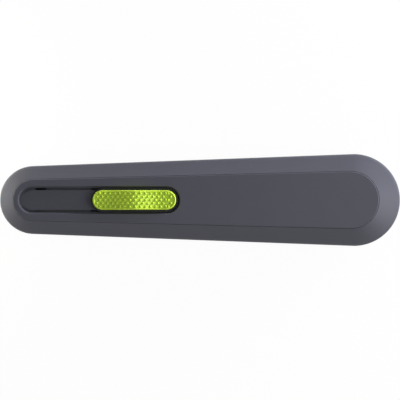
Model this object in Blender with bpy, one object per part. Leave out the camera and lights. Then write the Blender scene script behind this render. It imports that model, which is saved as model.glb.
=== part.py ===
"""Retractable utility knife with a thumb slide, modelled as its separate pieces.

The handle lies on its back: +Z points out of the face that carries the thumb slide, the blade
leaves the handle towards -X, and the origin is on the back face, midway along the handle.
"""

import math

import bmesh
import bpy
from mathutils import Vector

MM = 0.001

# Handle: two end arcs joined by straight, tapering sides
LENGTH = 160.0 * MM
NOSE_RADIUS = 13.6 * MM
TAIL_RADIUS = 18.4 * MM
THICKNESS = 17.0 * MM
WALL = 2.0 * MM

# Flat faces, front and back, inside the broad chamfer
FACE_NOSE_RADIUS = 8.2 * MM
FACE_TAIL_RADIUS = 11.4 * MM
FACE_NOSE_INSET = 5.1 * MM
FACE_TAIL_INSET = 8.5 * MM
CHAMFER_HEIGHT = 4.2 * MM
EDGE_ROUND = 0.9 * MM
FACE_ROUND = 0.4 * MM

# Clearances
SEAM_GAP = 0.3 * MM
FIT_GAP = 0.3 * MM
PIN_GAP = 0.2 * MM
LEG_GAP = 0.15 * MM
OVERSHOOT = 1.0 * MM

# Tongue of the bottom shell, which stands in a rebate of the top shell
TONGUE_HEIGHT = 0.75 * MM
TONGUE_THICKNESS = 0.85 * MM

# Recess that the thumb slide runs in
RECESS_SETBACK = 6.8 * MM
RECESS_LENGTH = 65.2 * MM
RECESS_WIDTH = 10.88 * MM
RECESS_DEPTH = 2.2 * MM
RECESS_DRAFT = 0.44 * MM
RECESS_FRONT_RAMP = 2.4 * MM
RECESS_TOE_HEIGHT = 0.6 * MM
RECESS_TOE_RUN = 2.0 * MM
RIM_CHAMFER = 0.3 * MM
FLOOR_THICKNESS = 1.6 * MM
FLOOR_WIDTH = 7.9 * MM
SLIT_WIDTH = 0.85 * MM
TRACK_WALL = 1.4 * MM

# Thumb cap and the base under it
CAP_LENGTH = 33.4 * MM
CAP_WIDTH = 7.76 * MM
CAP_RISE = 0.8 * MM
CAP_ROUND = 0.5 * MM
CAP_RIM_WIDTH = 0.9 * MM
CAP_RIM_HEIGHT = 0.25 * MM
RIDGE_HEIGHT = 2.2 * MM
RIDGE_FALL = 5.0 * MM
RIDGE_ROUND = 0.8 * MM
BASE_THICKNESS = 1.0 * MM
BASE_FRONT_LIP = 0.6 * MM
PEG_DIAMETER = 2.8 * MM
PEG_HEIGHT = 0.8 * MM
PEG_SPACING = 15.4 * MM
LEG_LENGTH = 6.5 * MM
LEG_SPACING = 17.6 * MM
BARB_REACH = 0.3 * MM
BARB_HEIGHT = 0.5 * MM

# Blade: a reversible trapezoid with two notches in its back
BLADE_LENGTH = 61.0 * MM
BLADE_BACK_LENGTH = 34.0 * MM
BLADE_HEIGHT = 19.0 * MM
BLADE_THICKNESS = 0.65 * MM
BLADE_LEAD = 14.7 * MM
GRIND_WIDTH = 2.2 * MM
EDGE_LAND = 0.08 * MM
NOTCH_SPACING = 12.0 * MM
NOTCH_WIDTH = 3.6 * MM
NOTCH_DEPTH = 3.0 * MM
NOTCH_FLARE = 0.4 * MM
MOUTH_GAP = 0.45 * MM

# Blade carrier
CARRIER_PLATE = 2.3 * MM
CARRIER_CORNER = 4.0 * MM
CARRIER_RIDGE_WIDTH = 6.8 * MM
CHEEK_WIDTH = 0.8 * MM
CHEEK_DROP = 1.2 * MM
CHEEK_LEAD = 9.0 * MM
BARB_RELIEF = 1.1 * MM
TONGUE_WIDTH = 9.0 * MM

# Keeper strip under the blade, and its rivets
KEEPER_WIDTH = 7.0 * MM
KEEPER_THICKNESS = 0.5 * MM
KEEPER_REACH = 19.5 * MM
KEEPER_FOOT = 5.0 * MM
RIVET_DIAMETER = 1.6 * MM
RIVET_HEAD = 3.0 * MM
RIVET_HEAD_HEIGHT = 0.7 * MM
RIVET_SPACING = 4.8 * MM
RIVET_LENGTH = 3.0 * MM

# Return spring, its post on the carrier and its anchor pin
WIRE = 0.7 * MM
COIL_RADIUS = 2.2 * MM
COIL_PITCH = 1.4 * MM
COIL_LEAD = 6.0 * MM
COIL_BEND = 1.5 * MM
COIL_POINTS = 10
POST_DIAMETER = 2.4 * MM
POST_HEAD = 3.6 * MM
POST_HEAD_HEIGHT = 0.5 * MM
POST_SETBACK = 3.8 * MM
POST_MARGIN = 2.2 * MM
ANCHOR_SETBACK = 20.0 * MM
ANCHOR_BOSS = 6.0 * MM
ANCHOR_DEPTH = 3.2 * MM

# Shell screws, their inserts and their bosses
SCREW_DIAMETER = 2.6 * MM
SCREW_HEAD = 4.4 * MM
SCREW_HEAD_HEIGHT = 1.6 * MM
SCREW_SINK = 0.4 * MM
SCREW_SETBACK = 6.5 * MM
SCREW_SPREAD = 13.6 * MM
INSERT_WALL = 0.5 * MM
INSERT_LENGTH = 4.0 * MM
INSERT_SINK = 0.3 * MM
INSERT_TIP_ROOM = 0.8 * MM
BOSS_WALL = 1.1 * MM

# Ribs inside the shells
RAIL_WIDTH = 1.2 * MM
BLADE_RAIL_SPREAD = 11.2 * MM
RIB_WIDTH = 1.2 * MM
RIB_HEIGHT = 3.0 * MM
RIB_COUNT = 3

ARC_STEPS = 20
ROUND_STEPS = 24
SMOOTH_ANGLE = math.radians(35)
FLATNESS = 0.00001 * MM

# Places along the handle
NOSE_X = -LENGTH / 2 + NOSE_RADIUS
TAIL_X = LENGTH / 2 - TAIL_RADIUS
RECESS_FRONT = -LENGTH / 2 + RECESS_SETBACK
RECESS_REAR = RECESS_FRONT + RECESS_LENGTH
RECESS_RADIUS = RECESS_WIDTH / 2
FOOT_RADIUS = RECESS_RADIUS - RECESS_DRAFT
FOOT_FRONT = RECESS_FRONT + RECESS_FRONT_RAMP
FOOT_REAR = RECESS_REAR - RECESS_DRAFT
BASE_RADIUS = FOOT_RADIUS - FIT_GAP
BASE_REAR = FOOT_REAR - FIT_GAP
CAP_RADIUS = CAP_WIDTH / 2
CAP_REAR = BASE_REAR - BASE_RADIUS + CAP_RADIUS
CAP_FRONT = CAP_REAR - CAP_LENGTH
BASE_FRONT = CAP_FRONT - BASE_FRONT_LIP
SLIDE_X = (CAP_FRONT + CAP_REAR) / 2
SLIDE_TRAVEL = BASE_FRONT - FOOT_FRONT - FIT_GAP
BLADE_X = SLIDE_X - BLADE_LEAD

# Heights
PARTING = THICKNESS / 2
FLOOR_TOP = THICKNESS - RECESS_DEPTH
FLOOR_UNDER = FLOOR_TOP - FLOOR_THICKNESS
BASE_UNDER = FLOOR_TOP + FIT_GAP
BASE_TOP = BASE_UNDER + BASE_THICKNESS
CAP_UNDER = BASE_TOP + FIT_GAP
CAP_TOP = THICKNESS + CAP_RISE
BLADE_TOP = PARTING + BLADE_THICKNESS / 2
BLADE_UNDER = PARTING - BLADE_THICKNESS / 2
CARRIER_UNDER = BLADE_TOP + FIT_GAP
CARRIER_TOP = FLOOR_UNDER - FIT_GAP
PLATE_TOP = min(CARRIER_UNDER + CARRIER_PLATE, CARRIER_TOP)
CHEEK_INNER = BLADE_HEIGHT / 2 + FIT_GAP
CHEEK_OUTER = CHEEK_INNER + CHEEK_WIDTH
CHEEK_UNDER = CARRIER_UNDER - CHEEK_DROP
KEEPER_TOP = BLADE_UNDER - FIT_GAP
KEEPER_FOOT_TOP = CARRIER_UNDER - FIT_GAP
SLIT_INNER = FLOOR_WIDTH / 2
SLIT_OUTER = SLIT_INNER + SLIT_WIDTH
COUNTERBORE_DEPTH = SCREW_SINK + SCREW_HEAD_HEIGHT + FIT_GAP
COUNTERBORE = SCREW_HEAD + 2 * FIT_GAP
BOSS = COUNTERBORE + 2 * BOSS_WALL
INSERT_UNDER = PARTING + SEAM_GAP / 2 + INSERT_SINK
INSERT_TOP = INSERT_UNDER + INSERT_LENGTH
INSERT_BORE = SCREW_DIAMETER + 2 * PIN_GAP
INSERT_OUTER = INSERT_BORE + 2 * INSERT_WALL


def blade_rear_at(across):
    """Place of the blade's slanting rear end at a distance from its middle line."""
    slant = (BLADE_LENGTH - BLADE_BACK_LENGTH) / 2 / BLADE_HEIGHT
    return BLADE_X + BLADE_LENGTH / 2 - slant * (across + BLADE_HEIGHT / 2)


# Places that follow from the blade: keeper, spring post, then screws and anchor
KEEPER_BEND = blade_rear_at(-KEEPER_WIDTH / 2) + FIT_GAP
KEEPER_STEP = KEEPER_FOOT_TOP - KEEPER_TOP
FOOT_START = KEEPER_BEND + KEEPER_STEP
FOOT_END = FOOT_START + KEEPER_FOOT
RIVET_X = (FOOT_START + FOOT_END) / 2
POST_X = FOOT_END + POST_SETBACK
TONGUE_END = POST_X + POST_MARGIN
SCREW_X = TONGUE_END + SCREW_SETBACK
ANCHOR_X = TAIL_X - ANCHOR_SETBACK
HOOK_RADIUS = POST_DIAMETER / 2 + WIRE / 2 + PIN_GAP
SPRING_Z = CARRIER_UNDER - PIN_GAP - WIRE
POST_UNDER = SPRING_Z - WIRE - PIN_GAP
SCREW_PLACES = {
    "left": (SCREW_X, -SCREW_SPREAD / 2),
    "right": (SCREW_X, SCREW_SPREAD / 2),
    "tail": (TAIL_X, 0.0),
}

LOOKS = {
    "glass_filled_nylon": ((0.068, 0.071, 0.086), 0.55, 0.0),
    "lime_plastic": ((0.36, 0.52, 0.055), 0.45, 0.0),
    "black_acetal": ((0.012, 0.012, 0.013), 0.4, 0.0),
    "blade_steel": ((0.56, 0.57, 0.58), 0.25, 1.0),
    "spring_steel": ((0.36, 0.36, 0.37), 0.3, 1.0),
    "zinc_steel": ((0.5, 0.5, 0.52), 0.35, 1.0),
    "brass": ((0.68, 0.47, 0.16), 0.3, 1.0),
}


def make_material(name):
    """A plain material from the table of looks, made once and shared."""
    known = bpy.data.materials.get(name)
    if known:
        return known
    colour, roughness, metallic = LOOKS[name]
    material = bpy.data.materials.new(name)
    material.use_nodes = True
    shader = material.node_tree.nodes["Principled BSDF"]
    shader.inputs["Base Color"].default_value = (*colour, 1.0)
    shader.inputs["Roughness"].default_value = roughness
    shader.inputs["Metallic"].default_value = metallic
    return material


def make_solid(name, shape, look=None):
    """Turn a bmesh into an object: a piece when it has a look, otherwise a hidden tool."""
    bmesh.ops.recalc_face_normals(shape, faces=shape.faces)
    mesh = bpy.data.meshes.new(name)
    shape.to_mesh(mesh)
    shape.free()
    solid = bpy.data.objects.new(name, mesh)
    bpy.context.scene.collection.objects.link(solid)
    if look:
        mesh.shade_smooth()
        mesh.set_sharp_from_angle(angle=SMOOTH_ANGLE)
        mesh.materials.append(make_material(look))
    else:
        solid.hide_render = True
        solid.display_type = "WIRE"
    return solid


def combine(target, tool, operation):
    """Add a Boolean of this tool to the target."""
    step = target.modifiers.new(f"{operation.lower()}_{tool.name}", "BOOLEAN")
    step.operation = operation
    step.solver = "EXACT"
    step.object = tool


def cut(target, *tools):
    """Take each tool's volume away from the target."""
    for tool in tools:
        combine(target, tool, "DIFFERENCE")


def fuse(target, *tools):
    """Join each tool's volume to the target."""
    for tool in tools:
        combine(target, tool, "UNION")


def tapered_outline(front_x, front_radius, rear_x, rear_radius):
    """Anticlockwise outline of two end arcs and the straight lines that touch both."""
    lean = math.asin((rear_radius - front_radius) / (rear_x - front_x))
    side = math.pi / 2 + lean
    outline = []
    for step in range(ARC_STEPS + 1):
        angle = -side + 2 * side * step / ARC_STEPS
        outline.append((rear_x + rear_radius * math.cos(angle), rear_radius * math.sin(angle)))
    for step in range(ARC_STEPS + 1):
        angle = side + 2 * (math.pi - side) * step / ARC_STEPS
        outline.append((front_x + front_radius * math.cos(angle), front_radius * math.sin(angle)))
    return outline


def slot_outline(front, rear, radius):
    """Outline of a slot with round ends, from its front tip to its rear tip."""
    return tapered_outline(front + radius, radius, rear - radius, radius)


def handle_outline(inset=0.0):
    """The handle's side wall, drawn in by an even distance."""
    return tapered_outline(NOSE_X, NOSE_RADIUS - inset, TAIL_X, TAIL_RADIUS - inset)


def face_outline(inset=0.0):
    """The flat face inside the chamfer, drawn in by an even distance."""
    nose_x = -LENGTH / 2 + FACE_NOSE_INSET + FACE_NOSE_RADIUS
    tail_x = LENGTH / 2 - FACE_TAIL_INSET - FACE_TAIL_RADIUS
    return tapered_outline(nose_x, FACE_NOSE_RADIUS - inset, tail_x, FACE_TAIL_RADIUS - inset)


def rectangle(x_low, x_high, half_width, corner):
    """Anticlockwise rectangle about the X axis with round corners."""
    corners = [(x_high, -1, -90), (x_high, 1, 0), (x_low, 1, 90), (x_low, -1, 180)]
    steps = ROUND_STEPS // 4
    outline = []
    for x, side, start in corners:
        middle_x = x - corner if x == x_high else x + corner
        for step in range(steps + 1):
            angle = math.radians(start + 90 * step / steps)
            across = side * (half_width - corner) + corner * math.sin(angle)
            outline.append((middle_x + corner * math.cos(angle), across))
    return outline


def ring(outline, height):
    """Lift a flat outline to a height."""
    return [Vector((x, y, height)) for x, y in outline]


def mix_rings(first, second, share):
    """The ring that lies this share of the way from the first to the second."""
    return [a.lerp(b, share) for a, b in zip(first, second)]


def round_edge(before, corner, after, steps=3):
    """Rings that round off a corner between two neighbouring rings."""
    rounded = []
    for step in range(steps + 1):
        share = step / steps
        rounded.append(mix_rings(mix_rings(before, corner, share), mix_rings(corner, after, share), share))
    return rounded


def loft(name, rings, look=None):
    """A solid skinned over rings of equal count and closed at both ends, with its twisted faces split."""
    shape = bmesh.new()
    loops = [[shape.verts.new(point) for point in points] for points in rings]
    twisted = []
    for lower, upper in zip(loops, loops[1:]):
        for index, corner in enumerate(lower):
            after = (index + 1) % len(lower)
            face = shape.faces.new((corner, lower[after], upper[after], upper[index]))
            normal = (lower[after].co - corner.co).cross(upper[index].co - corner.co).normalized()
            if abs(normal.dot(upper[after].co - corner.co)) > FLATNESS:
                twisted.append(face)
    shape.faces.new(loops[0])
    shape.faces.new(loops[-1])
    bmesh.ops.triangulate(shape, faces=twisted)
    return make_solid(name, shape, look)


def prism(name, outline, low, high, look=None):
    """An outline pulled up from one height to another."""
    return loft(name, [ring(outline, low), ring(outline, high)], look)


def extrude_along(name, profile, low, high, axis, look=None):
    """A profile pulled along X (profile in Y and Z) or along Y (profile in X and Z)."""
    rings = []
    for place in (low, high):
        if axis == "X":
            rings.append([Vector((place, across, height)) for across, height in profile])
        else:
            rings.append([Vector((along, place, height)) for along, height in profile])
    return loft(name, rings, look)


def box(name, x_range, y_range, z_range, look=None):
    """A rectangular block between three pairs of limits."""
    x_low, x_high = x_range
    y_low, y_high = y_range
    outline = [(x_low, y_low), (x_high, y_low), (x_high, y_high), (x_low, y_high)]
    return prism(name, outline, *z_range, look)


def circle(diameter, place=(0.0, 0.0)):
    """Points round a circle."""
    radius = diameter / 2
    turns = [2 * math.pi * step / ROUND_STEPS for step in range(ROUND_STEPS)]
    return [(place[0] + radius * math.cos(turn), place[1] + radius * math.sin(turn)) for turn in turns]


def rod(name, diameter, place, low, high, look=None):
    """An upright cylinder."""
    return prism(name, circle(diameter, place), low, high, look)


def turned(name, steps, look=None):
    """An upright round piece from (diameter, height) pairs, about its own origin."""
    return loft(name, [ring(circle(diameter), height) for diameter, height in steps], look)


def handle_half(name, look, facing):
    """One half of the handle, still solid, from its seam edge to its flat face."""

    def lift(outline, above_seam):
        return ring(outline, PARTING + facing * above_seam)

    shoulder = THICKNESS / 2 - CHAMFER_HEIGHT
    band = (FACE_NOSE_INSET + FACE_TAIL_INSET) / 2
    wall = lift(handle_outline(), shoulder)
    face = lift(face_outline(), THICKNESS / 2)
    low_edge = lift(handle_outline(), shoulder - EDGE_ROUND)
    chamfer_foot = mix_rings(wall, face, EDGE_ROUND / band)
    chamfer_head = mix_rings(face, wall, FACE_ROUND / band)
    face_edge = lift(face_outline(FACE_ROUND), THICKNESS / 2)
    rings = [lift(handle_outline(), SEAM_GAP / 2)]
    if facing < 0:
        tongue = handle_outline(WALL - TONGUE_THICKNESS)
        rings = [lift(tongue, -TONGUE_HEIGHT), lift(tongue, SEAM_GAP / 2), *rings]
    rings += round_edge(low_edge, wall, chamfer_foot)
    rings += round_edge(chamfer_head, face, face_edge)
    return loft(name, rings, look)


def cavity_half(name, facing):
    """The hollow of one half: its wall is even, also behind the chamfer."""

    def lift(outline, above_seam):
        return ring(outline, PARTING + facing * above_seam)

    slope = math.atan2(CHAMFER_HEIGHT, (FACE_NOSE_INSET + FACE_TAIL_INSET) / 2)
    shoulder = THICKNESS / 2 - CHAMFER_HEIGHT - WALL * math.tan((math.pi / 2 - slope) / 2)
    inner_face = face_outline(WALL * math.tan(slope / 2))
    wall = handle_outline(WALL)
    rings = [lift(wall, shoulder), lift(inner_face, THICKNESS / 2 - WALL)]
    if facing > 0:
        rebate = handle_outline(WALL - TONGUE_THICKNESS - FIT_GAP)
        step = TONGUE_HEIGHT + FIT_GAP
        rings = [lift(rebate, -OVERSHOOT), lift(rebate, step), lift(wall, step), *rings]
    else:
        rings = [lift(wall, -TONGUE_HEIGHT - OVERSHOOT), *rings]
    return loft(name, rings)


def cross_ribs(name, low, high):
    """Stiffening ribs across the rear of the handle, evenly spaced between screws and anchor."""
    start = SCREW_X + BOSS / 2
    step = (ANCHOR_X - ANCHOR_BOSS / 2 - start) / (RIB_COUNT + 1)
    ribs = []
    for index in range(RIB_COUNT):
        middle = start + step * (index + 1)
        x_range = (middle - RIB_WIDTH / 2, middle + RIB_WIDTH / 2)
        ribs.append(box(f"{name}_{index + 1}", x_range, (-TAIL_RADIUS, TAIL_RADIUS), (low, high)))
    return ribs


def make_mouth():
    """The slot in the nose that the blade leaves by."""
    half = BLADE_HEIGHT / 2 + MOUTH_GAP
    heights = (BLADE_UNDER - MOUTH_GAP, BLADE_TOP + MOUTH_GAP)
    return box("mouth_cut", (-LENGTH / 2 - OVERSHOOT, NOSE_X), (-half, half), heights)


def make_recess():
    """The slide's recess: drafted sides, a front end that eases into the floor and a broken rim."""
    toe_share = RECESS_TOE_HEIGHT / RECESS_DEPTH
    rim_share = 1 - RIM_CHAMFER / RECESS_DEPTH
    toe_radius = FOOT_RADIUS + RECESS_DRAFT * toe_share
    toe_rear = FOOT_REAR + RECESS_DRAFT * toe_share
    toe = slot_outline(FOOT_FRONT - RECESS_TOE_RUN, toe_rear, toe_radius)
    rim = slot_outline(RECESS_FRONT, RECESS_REAR, RECESS_RADIUS)
    rim_climb = (rim_share - toe_share) / (1 - toe_share)
    grow = RIM_CHAMFER + OVERSHOOT
    rim_high = slot_outline(RECESS_FRONT - grow, RECESS_REAR + grow, RECESS_RADIUS + grow)
    toe_ring = ring(toe, FLOOR_TOP + RECESS_TOE_HEIGHT)
    return loft(
        "recess_cut",
        [
            ring(slot_outline(FOOT_FRONT, FOOT_REAR, FOOT_RADIUS), FLOOR_TOP),
            toe_ring,
            mix_rings(toe_ring, ring(rim, THICKNESS), rim_climb),
            ring(rim_high, THICKNESS + OVERSHOOT),
        ],
    )


def make_top_shell(mouth):
    """Upper half of the handle: recess and slits outside, track and insert bosses inside."""
    shell = handle_half("top_shell", "glass_filled_nylon", 1)
    cavity = cavity_half("top_cavity", 1)
    track = slot_outline(RECESS_FRONT - TRACK_WALL, RECESS_REAR + TRACK_WALL, RECESS_RADIUS + TRACK_WALL)
    cut(cavity, prism("track_block", track, FLOOR_UNDER, THICKNESS + OVERSHOOT))
    edge = PARTING + SEAM_GAP / 2
    for side, place in SCREW_PLACES.items():
        cut(cavity, rod(f"top_boss_{side}", BOSS, place, edge, THICKNESS + OVERSHOOT))
    anchor_low = THICKNESS - WALL - ANCHOR_DEPTH
    anchor = (ANCHOR_X, 0.0)
    cut(cavity, rod("top_anchor_boss", ANCHOR_BOSS, anchor, anchor_low, THICKNESS + OVERSHOOT))
    rib_low = THICKNESS - WALL - RIB_HEIGHT
    cut(cavity, *cross_ribs("top_rib", rib_low, THICKNESS + OVERSHOOT))
    cut(shell, cavity, make_recess(), mouth)
    slit_x = (FOOT_FRONT + FOOT_RADIUS, FOOT_REAR - FOOT_RADIUS)
    slit_z = (FLOOR_UNDER - OVERSHOOT, FLOOR_TOP + FIT_GAP)
    cut(shell, box("slit_cut_left", slit_x, (-SLIT_OUTER, -SLIT_INNER), slit_z))
    cut(shell, box("slit_cut_right", slit_x, (SLIT_INNER, SLIT_OUTER), slit_z))
    hole = INSERT_OUTER + 2 * PIN_GAP
    for side, place in SCREW_PLACES.items():
        cut(shell, rod(f"insert_hole_{side}", hole, place, edge - OVERSHOOT, INSERT_TOP + INSERT_TIP_ROOM))
    pin_hole = POST_DIAMETER + 2 * PIN_GAP
    cut(shell, rod("top_pin_hole", pin_hole, anchor, anchor_low - OVERSHOOT, THICKNESS - WALL))
    return shell


def make_rails():
    """Rails of the bottom shell: an inner pair under the blade, an outer pair under the carrier."""
    rails = []
    pairs = {
        "blade_rail": (BLADE_RAIL_SPREAD / 2, NOSE_X + OVERSHOOT, KEEPER_TOP),
        "carrier_rail": ((CHEEK_INNER + CHEEK_OUTER) / 2, NOSE_X + CARRIER_CORNER, CHEEK_UNDER - FIT_GAP),
    }
    for name, (across, front, top) in pairs.items():
        for side, middle in (("left", -across), ("right", across)):
            y_range = (middle - RAIL_WIDTH / 2, middle + RAIL_WIDTH / 2)
            rails.append(box(f"{name}_{side}", (front, BASE_REAR), y_range, (-OVERSHOOT, top)))
    return rails


def make_bottom_shell(mouth):
    """Back half of the handle: tongue round its edge, rails, bosses and counterbored screw holes."""
    shell = handle_half("bottom_shell", "glass_filled_nylon", -1)
    cavity = cavity_half("bottom_cavity", -1)
    cut(cavity, *make_rails())
    edge = PARTING - SEAM_GAP / 2
    for side, place in SCREW_PLACES.items():
        cut(cavity, rod(f"bottom_boss_{side}", BOSS, place, -OVERSHOOT, edge))
    anchor = (ANCHOR_X, 0.0)
    cut(cavity, rod("bottom_anchor_boss", ANCHOR_BOSS, anchor, -OVERSHOOT, WALL + ANCHOR_DEPTH))
    cut(cavity, *cross_ribs("bottom_rib", -OVERSHOOT, WALL + RIB_HEIGHT))
    cut(shell, cavity, mouth)
    hole = SCREW_DIAMETER + 2 * FIT_GAP
    for side, place in SCREW_PLACES.items():
        cut(shell, rod(f"counterbore_{side}", COUNTERBORE, place, -OVERSHOOT, COUNTERBORE_DEPTH))
        cut(shell, rod(f"screw_hole_{side}", hole, place, -OVERSHOOT, PARTING + OVERSHOOT))
    pin_hole = POST_DIAMETER + 2 * PIN_GAP
    pin_top = WALL + ANCHOR_DEPTH + OVERSHOOT
    cut(shell, rod("bottom_pin_hole", pin_hole, anchor, WALL, pin_top))
    return shell


def cap_height(along):
    """The thumb cap's upper surface: two hollow slopes that meet in a rounded ridge across its middle."""
    away = math.hypot(along - SLIDE_X, RIDGE_ROUND) - RIDGE_ROUND
    return CAP_TOP + RIDGE_HEIGHT * math.exp(-away / RIDGE_FALL)


def cap_side(inset, stations=32):
    """One long side of the cap from its rear tip to its front tip, drawn in by a distance."""
    radius = CAP_RADIUS - inset
    rear_x = CAP_REAR - CAP_RADIUS
    front_x = CAP_FRONT + CAP_RADIUS
    quarter = ARC_STEPS // 2
    side = []
    for step in range(quarter):
        angle = math.pi / 2 * step / quarter
        side.append((rear_x + radius * math.cos(angle), radius * math.sin(angle)))
    for step in range(stations + 1):
        side.append((rear_x + (front_x - rear_x) * step / stations, radius))
    for step in range(1, quarter + 1):
        angle = math.pi / 2 * (1 + step / quarter)
        side.append((front_x + radius * math.cos(angle), max(radius * math.sin(angle), 0.0)))
    side[-1] = (front_x - radius, 0.0)
    return side


def make_thumb_cap():
    """Green thumb piece: a slot-shaped pad with a ridge, a raised rim and two sockets."""
    shape = bmesh.new()
    loops = []
    levels = [(0.0, None)]
    for step in range(4):
        angle = math.pi / 2 * step / 3
        levels.append((CAP_ROUND * (1 - math.cos(angle)), CAP_ROUND * (1 - math.sin(angle))))
    levels.append((CAP_RIM_WIDTH - CAP_RIM_HEIGHT / 2, CAP_RIM_HEIGHT / 2))
    levels.append((CAP_RIM_WIDTH, CAP_RIM_HEIGHT))
    for inset, drop in levels:
        upper = cap_side(inset)
        around = upper + [(x, -y) for x, y in reversed(upper[1:-1])]
        loop = []
        for x, y in around:
            height = CAP_UNDER if drop is None else cap_height(x) - drop
            loop.append(shape.verts.new((x, y, height)))
        loops.append(loop)
    for lower, higher in zip(loops, loops[1:]):
        for index, corner in enumerate(lower):
            after = (index + 1) % len(lower)
            shape.faces.new((corner, lower[after], higher[after], higher[index]))
    shape.faces.new(loops[0])
    top = loops[-1]
    last = len(top) // 2
    for index in range(last):
        strip = [top[index], top[index + 1], top[-index - 1], top[-index]]
        if index == 0:
            strip = [top[0], top[1], top[-1]]
        elif index == last - 1:
            strip = [top[index], top[last], top[-index]]
        shape.faces.new(strip)
    cap = make_solid("thumb_cap", shape, "lime_plastic")
    socket = PEG_DIAMETER + 2 * FIT_GAP
    socket_top = BASE_TOP + PEG_HEIGHT + FIT_GAP
    for number, offset in ((1, -PEG_SPACING / 2), (2, PEG_SPACING / 2)):
        place = (SLIDE_X + offset, 0.0)
        cut(cap, rod(f"peg_socket_{number}", socket, place, CAP_UNDER - OVERSHOOT, socket_top))
    return cap


def leg_profile(side):
    """A slider leg seen along the handle: a thin strip with a barb on its outer side."""
    inner = side * (SLIT_INNER + LEG_GAP)
    outer = side * (SLIT_OUTER - LEG_GAP)
    barb = outer + side * BARB_REACH
    foot = CARRIER_UNDER + FIT_GAP
    return [
        (inner, foot),
        (outer, foot),
        (barb, foot + BARB_HEIGHT / 2),
        (barb, foot + BARB_HEIGHT),
        (outer, foot + BARB_HEIGHT),
        (outer, BASE_UNDER + BASE_THICKNESS / 2),
        (inner, BASE_UNDER + BASE_THICKNESS / 2),
    ]


def leg_places():
    """Names, sides and X limits of the four slider legs."""
    for end, offset in (("front", -LEG_SPACING / 2), ("rear", LEG_SPACING / 2)):
        for side_name, side in (("left", -1), ("right", 1)):
            middle = SLIDE_X + offset
            yield f"{end}_{side_name}", side, middle - LEG_LENGTH / 2, middle + LEG_LENGTH / 2


def make_slider_base():
    """Dark base of the slide: a plate in the recess, pegs for the cap and four clip legs."""
    outline = slot_outline(BASE_FRONT, BASE_REAR, BASE_RADIUS)
    base = prism("slider_base", outline, BASE_UNDER, BASE_TOP, "black_acetal")
    middle = BASE_UNDER + BASE_THICKNESS / 2
    for number, offset in ((1, -PEG_SPACING / 2), (2, PEG_SPACING / 2)):
        place = (SLIDE_X + offset, 0.0)
        fuse(base, rod(f"cap_peg_{number}", PEG_DIAMETER, place, middle, BASE_TOP + PEG_HEIGHT))
    for name, side, front, rear in leg_places():
        fuse(base, extrude_along(f"leg_{name}", leg_profile(side), front, rear, "X"))
    return base


def make_blade():
    """Trapezoid blade: ground on both faces along its long edge, notched along its back."""
    half_height = BLADE_HEIGHT / 2
    slant = (BLADE_LENGTH - BLADE_BACK_LENGTH) / 2 / BLADE_HEIGHT

    def outline(grind):
        low = -half_height + grind
        half_edge = BLADE_LENGTH / 2 - slant * grind
        half_back = BLADE_BACK_LENGTH / 2
        points = [(-half_edge, low), (half_edge, low), (half_back, half_height)]
        for middle in (NOTCH_SPACING / 2, -NOTCH_SPACING / 2):
            half = NOTCH_WIDTH / 2
            points += [
                (middle + half + NOTCH_FLARE, half_height),
                (middle + half, half_height - NOTCH_DEPTH),
                (middle - half, half_height - NOTCH_DEPTH),
                (middle - half - NOTCH_FLARE, half_height),
            ]
        points.append((-half_back, half_height))
        return [(BLADE_X + x, y) for x, y in points]

    rings = [
        ring(outline(GRIND_WIDTH), BLADE_UNDER),
        ring(outline(0.0), PARTING - EDGE_LAND / 2),
        ring(outline(0.0), PARTING + EDGE_LAND / 2),
        ring(outline(GRIND_WIDTH), BLADE_TOP),
    ]
    return loft("blade", rings, "blade_steel")


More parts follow.
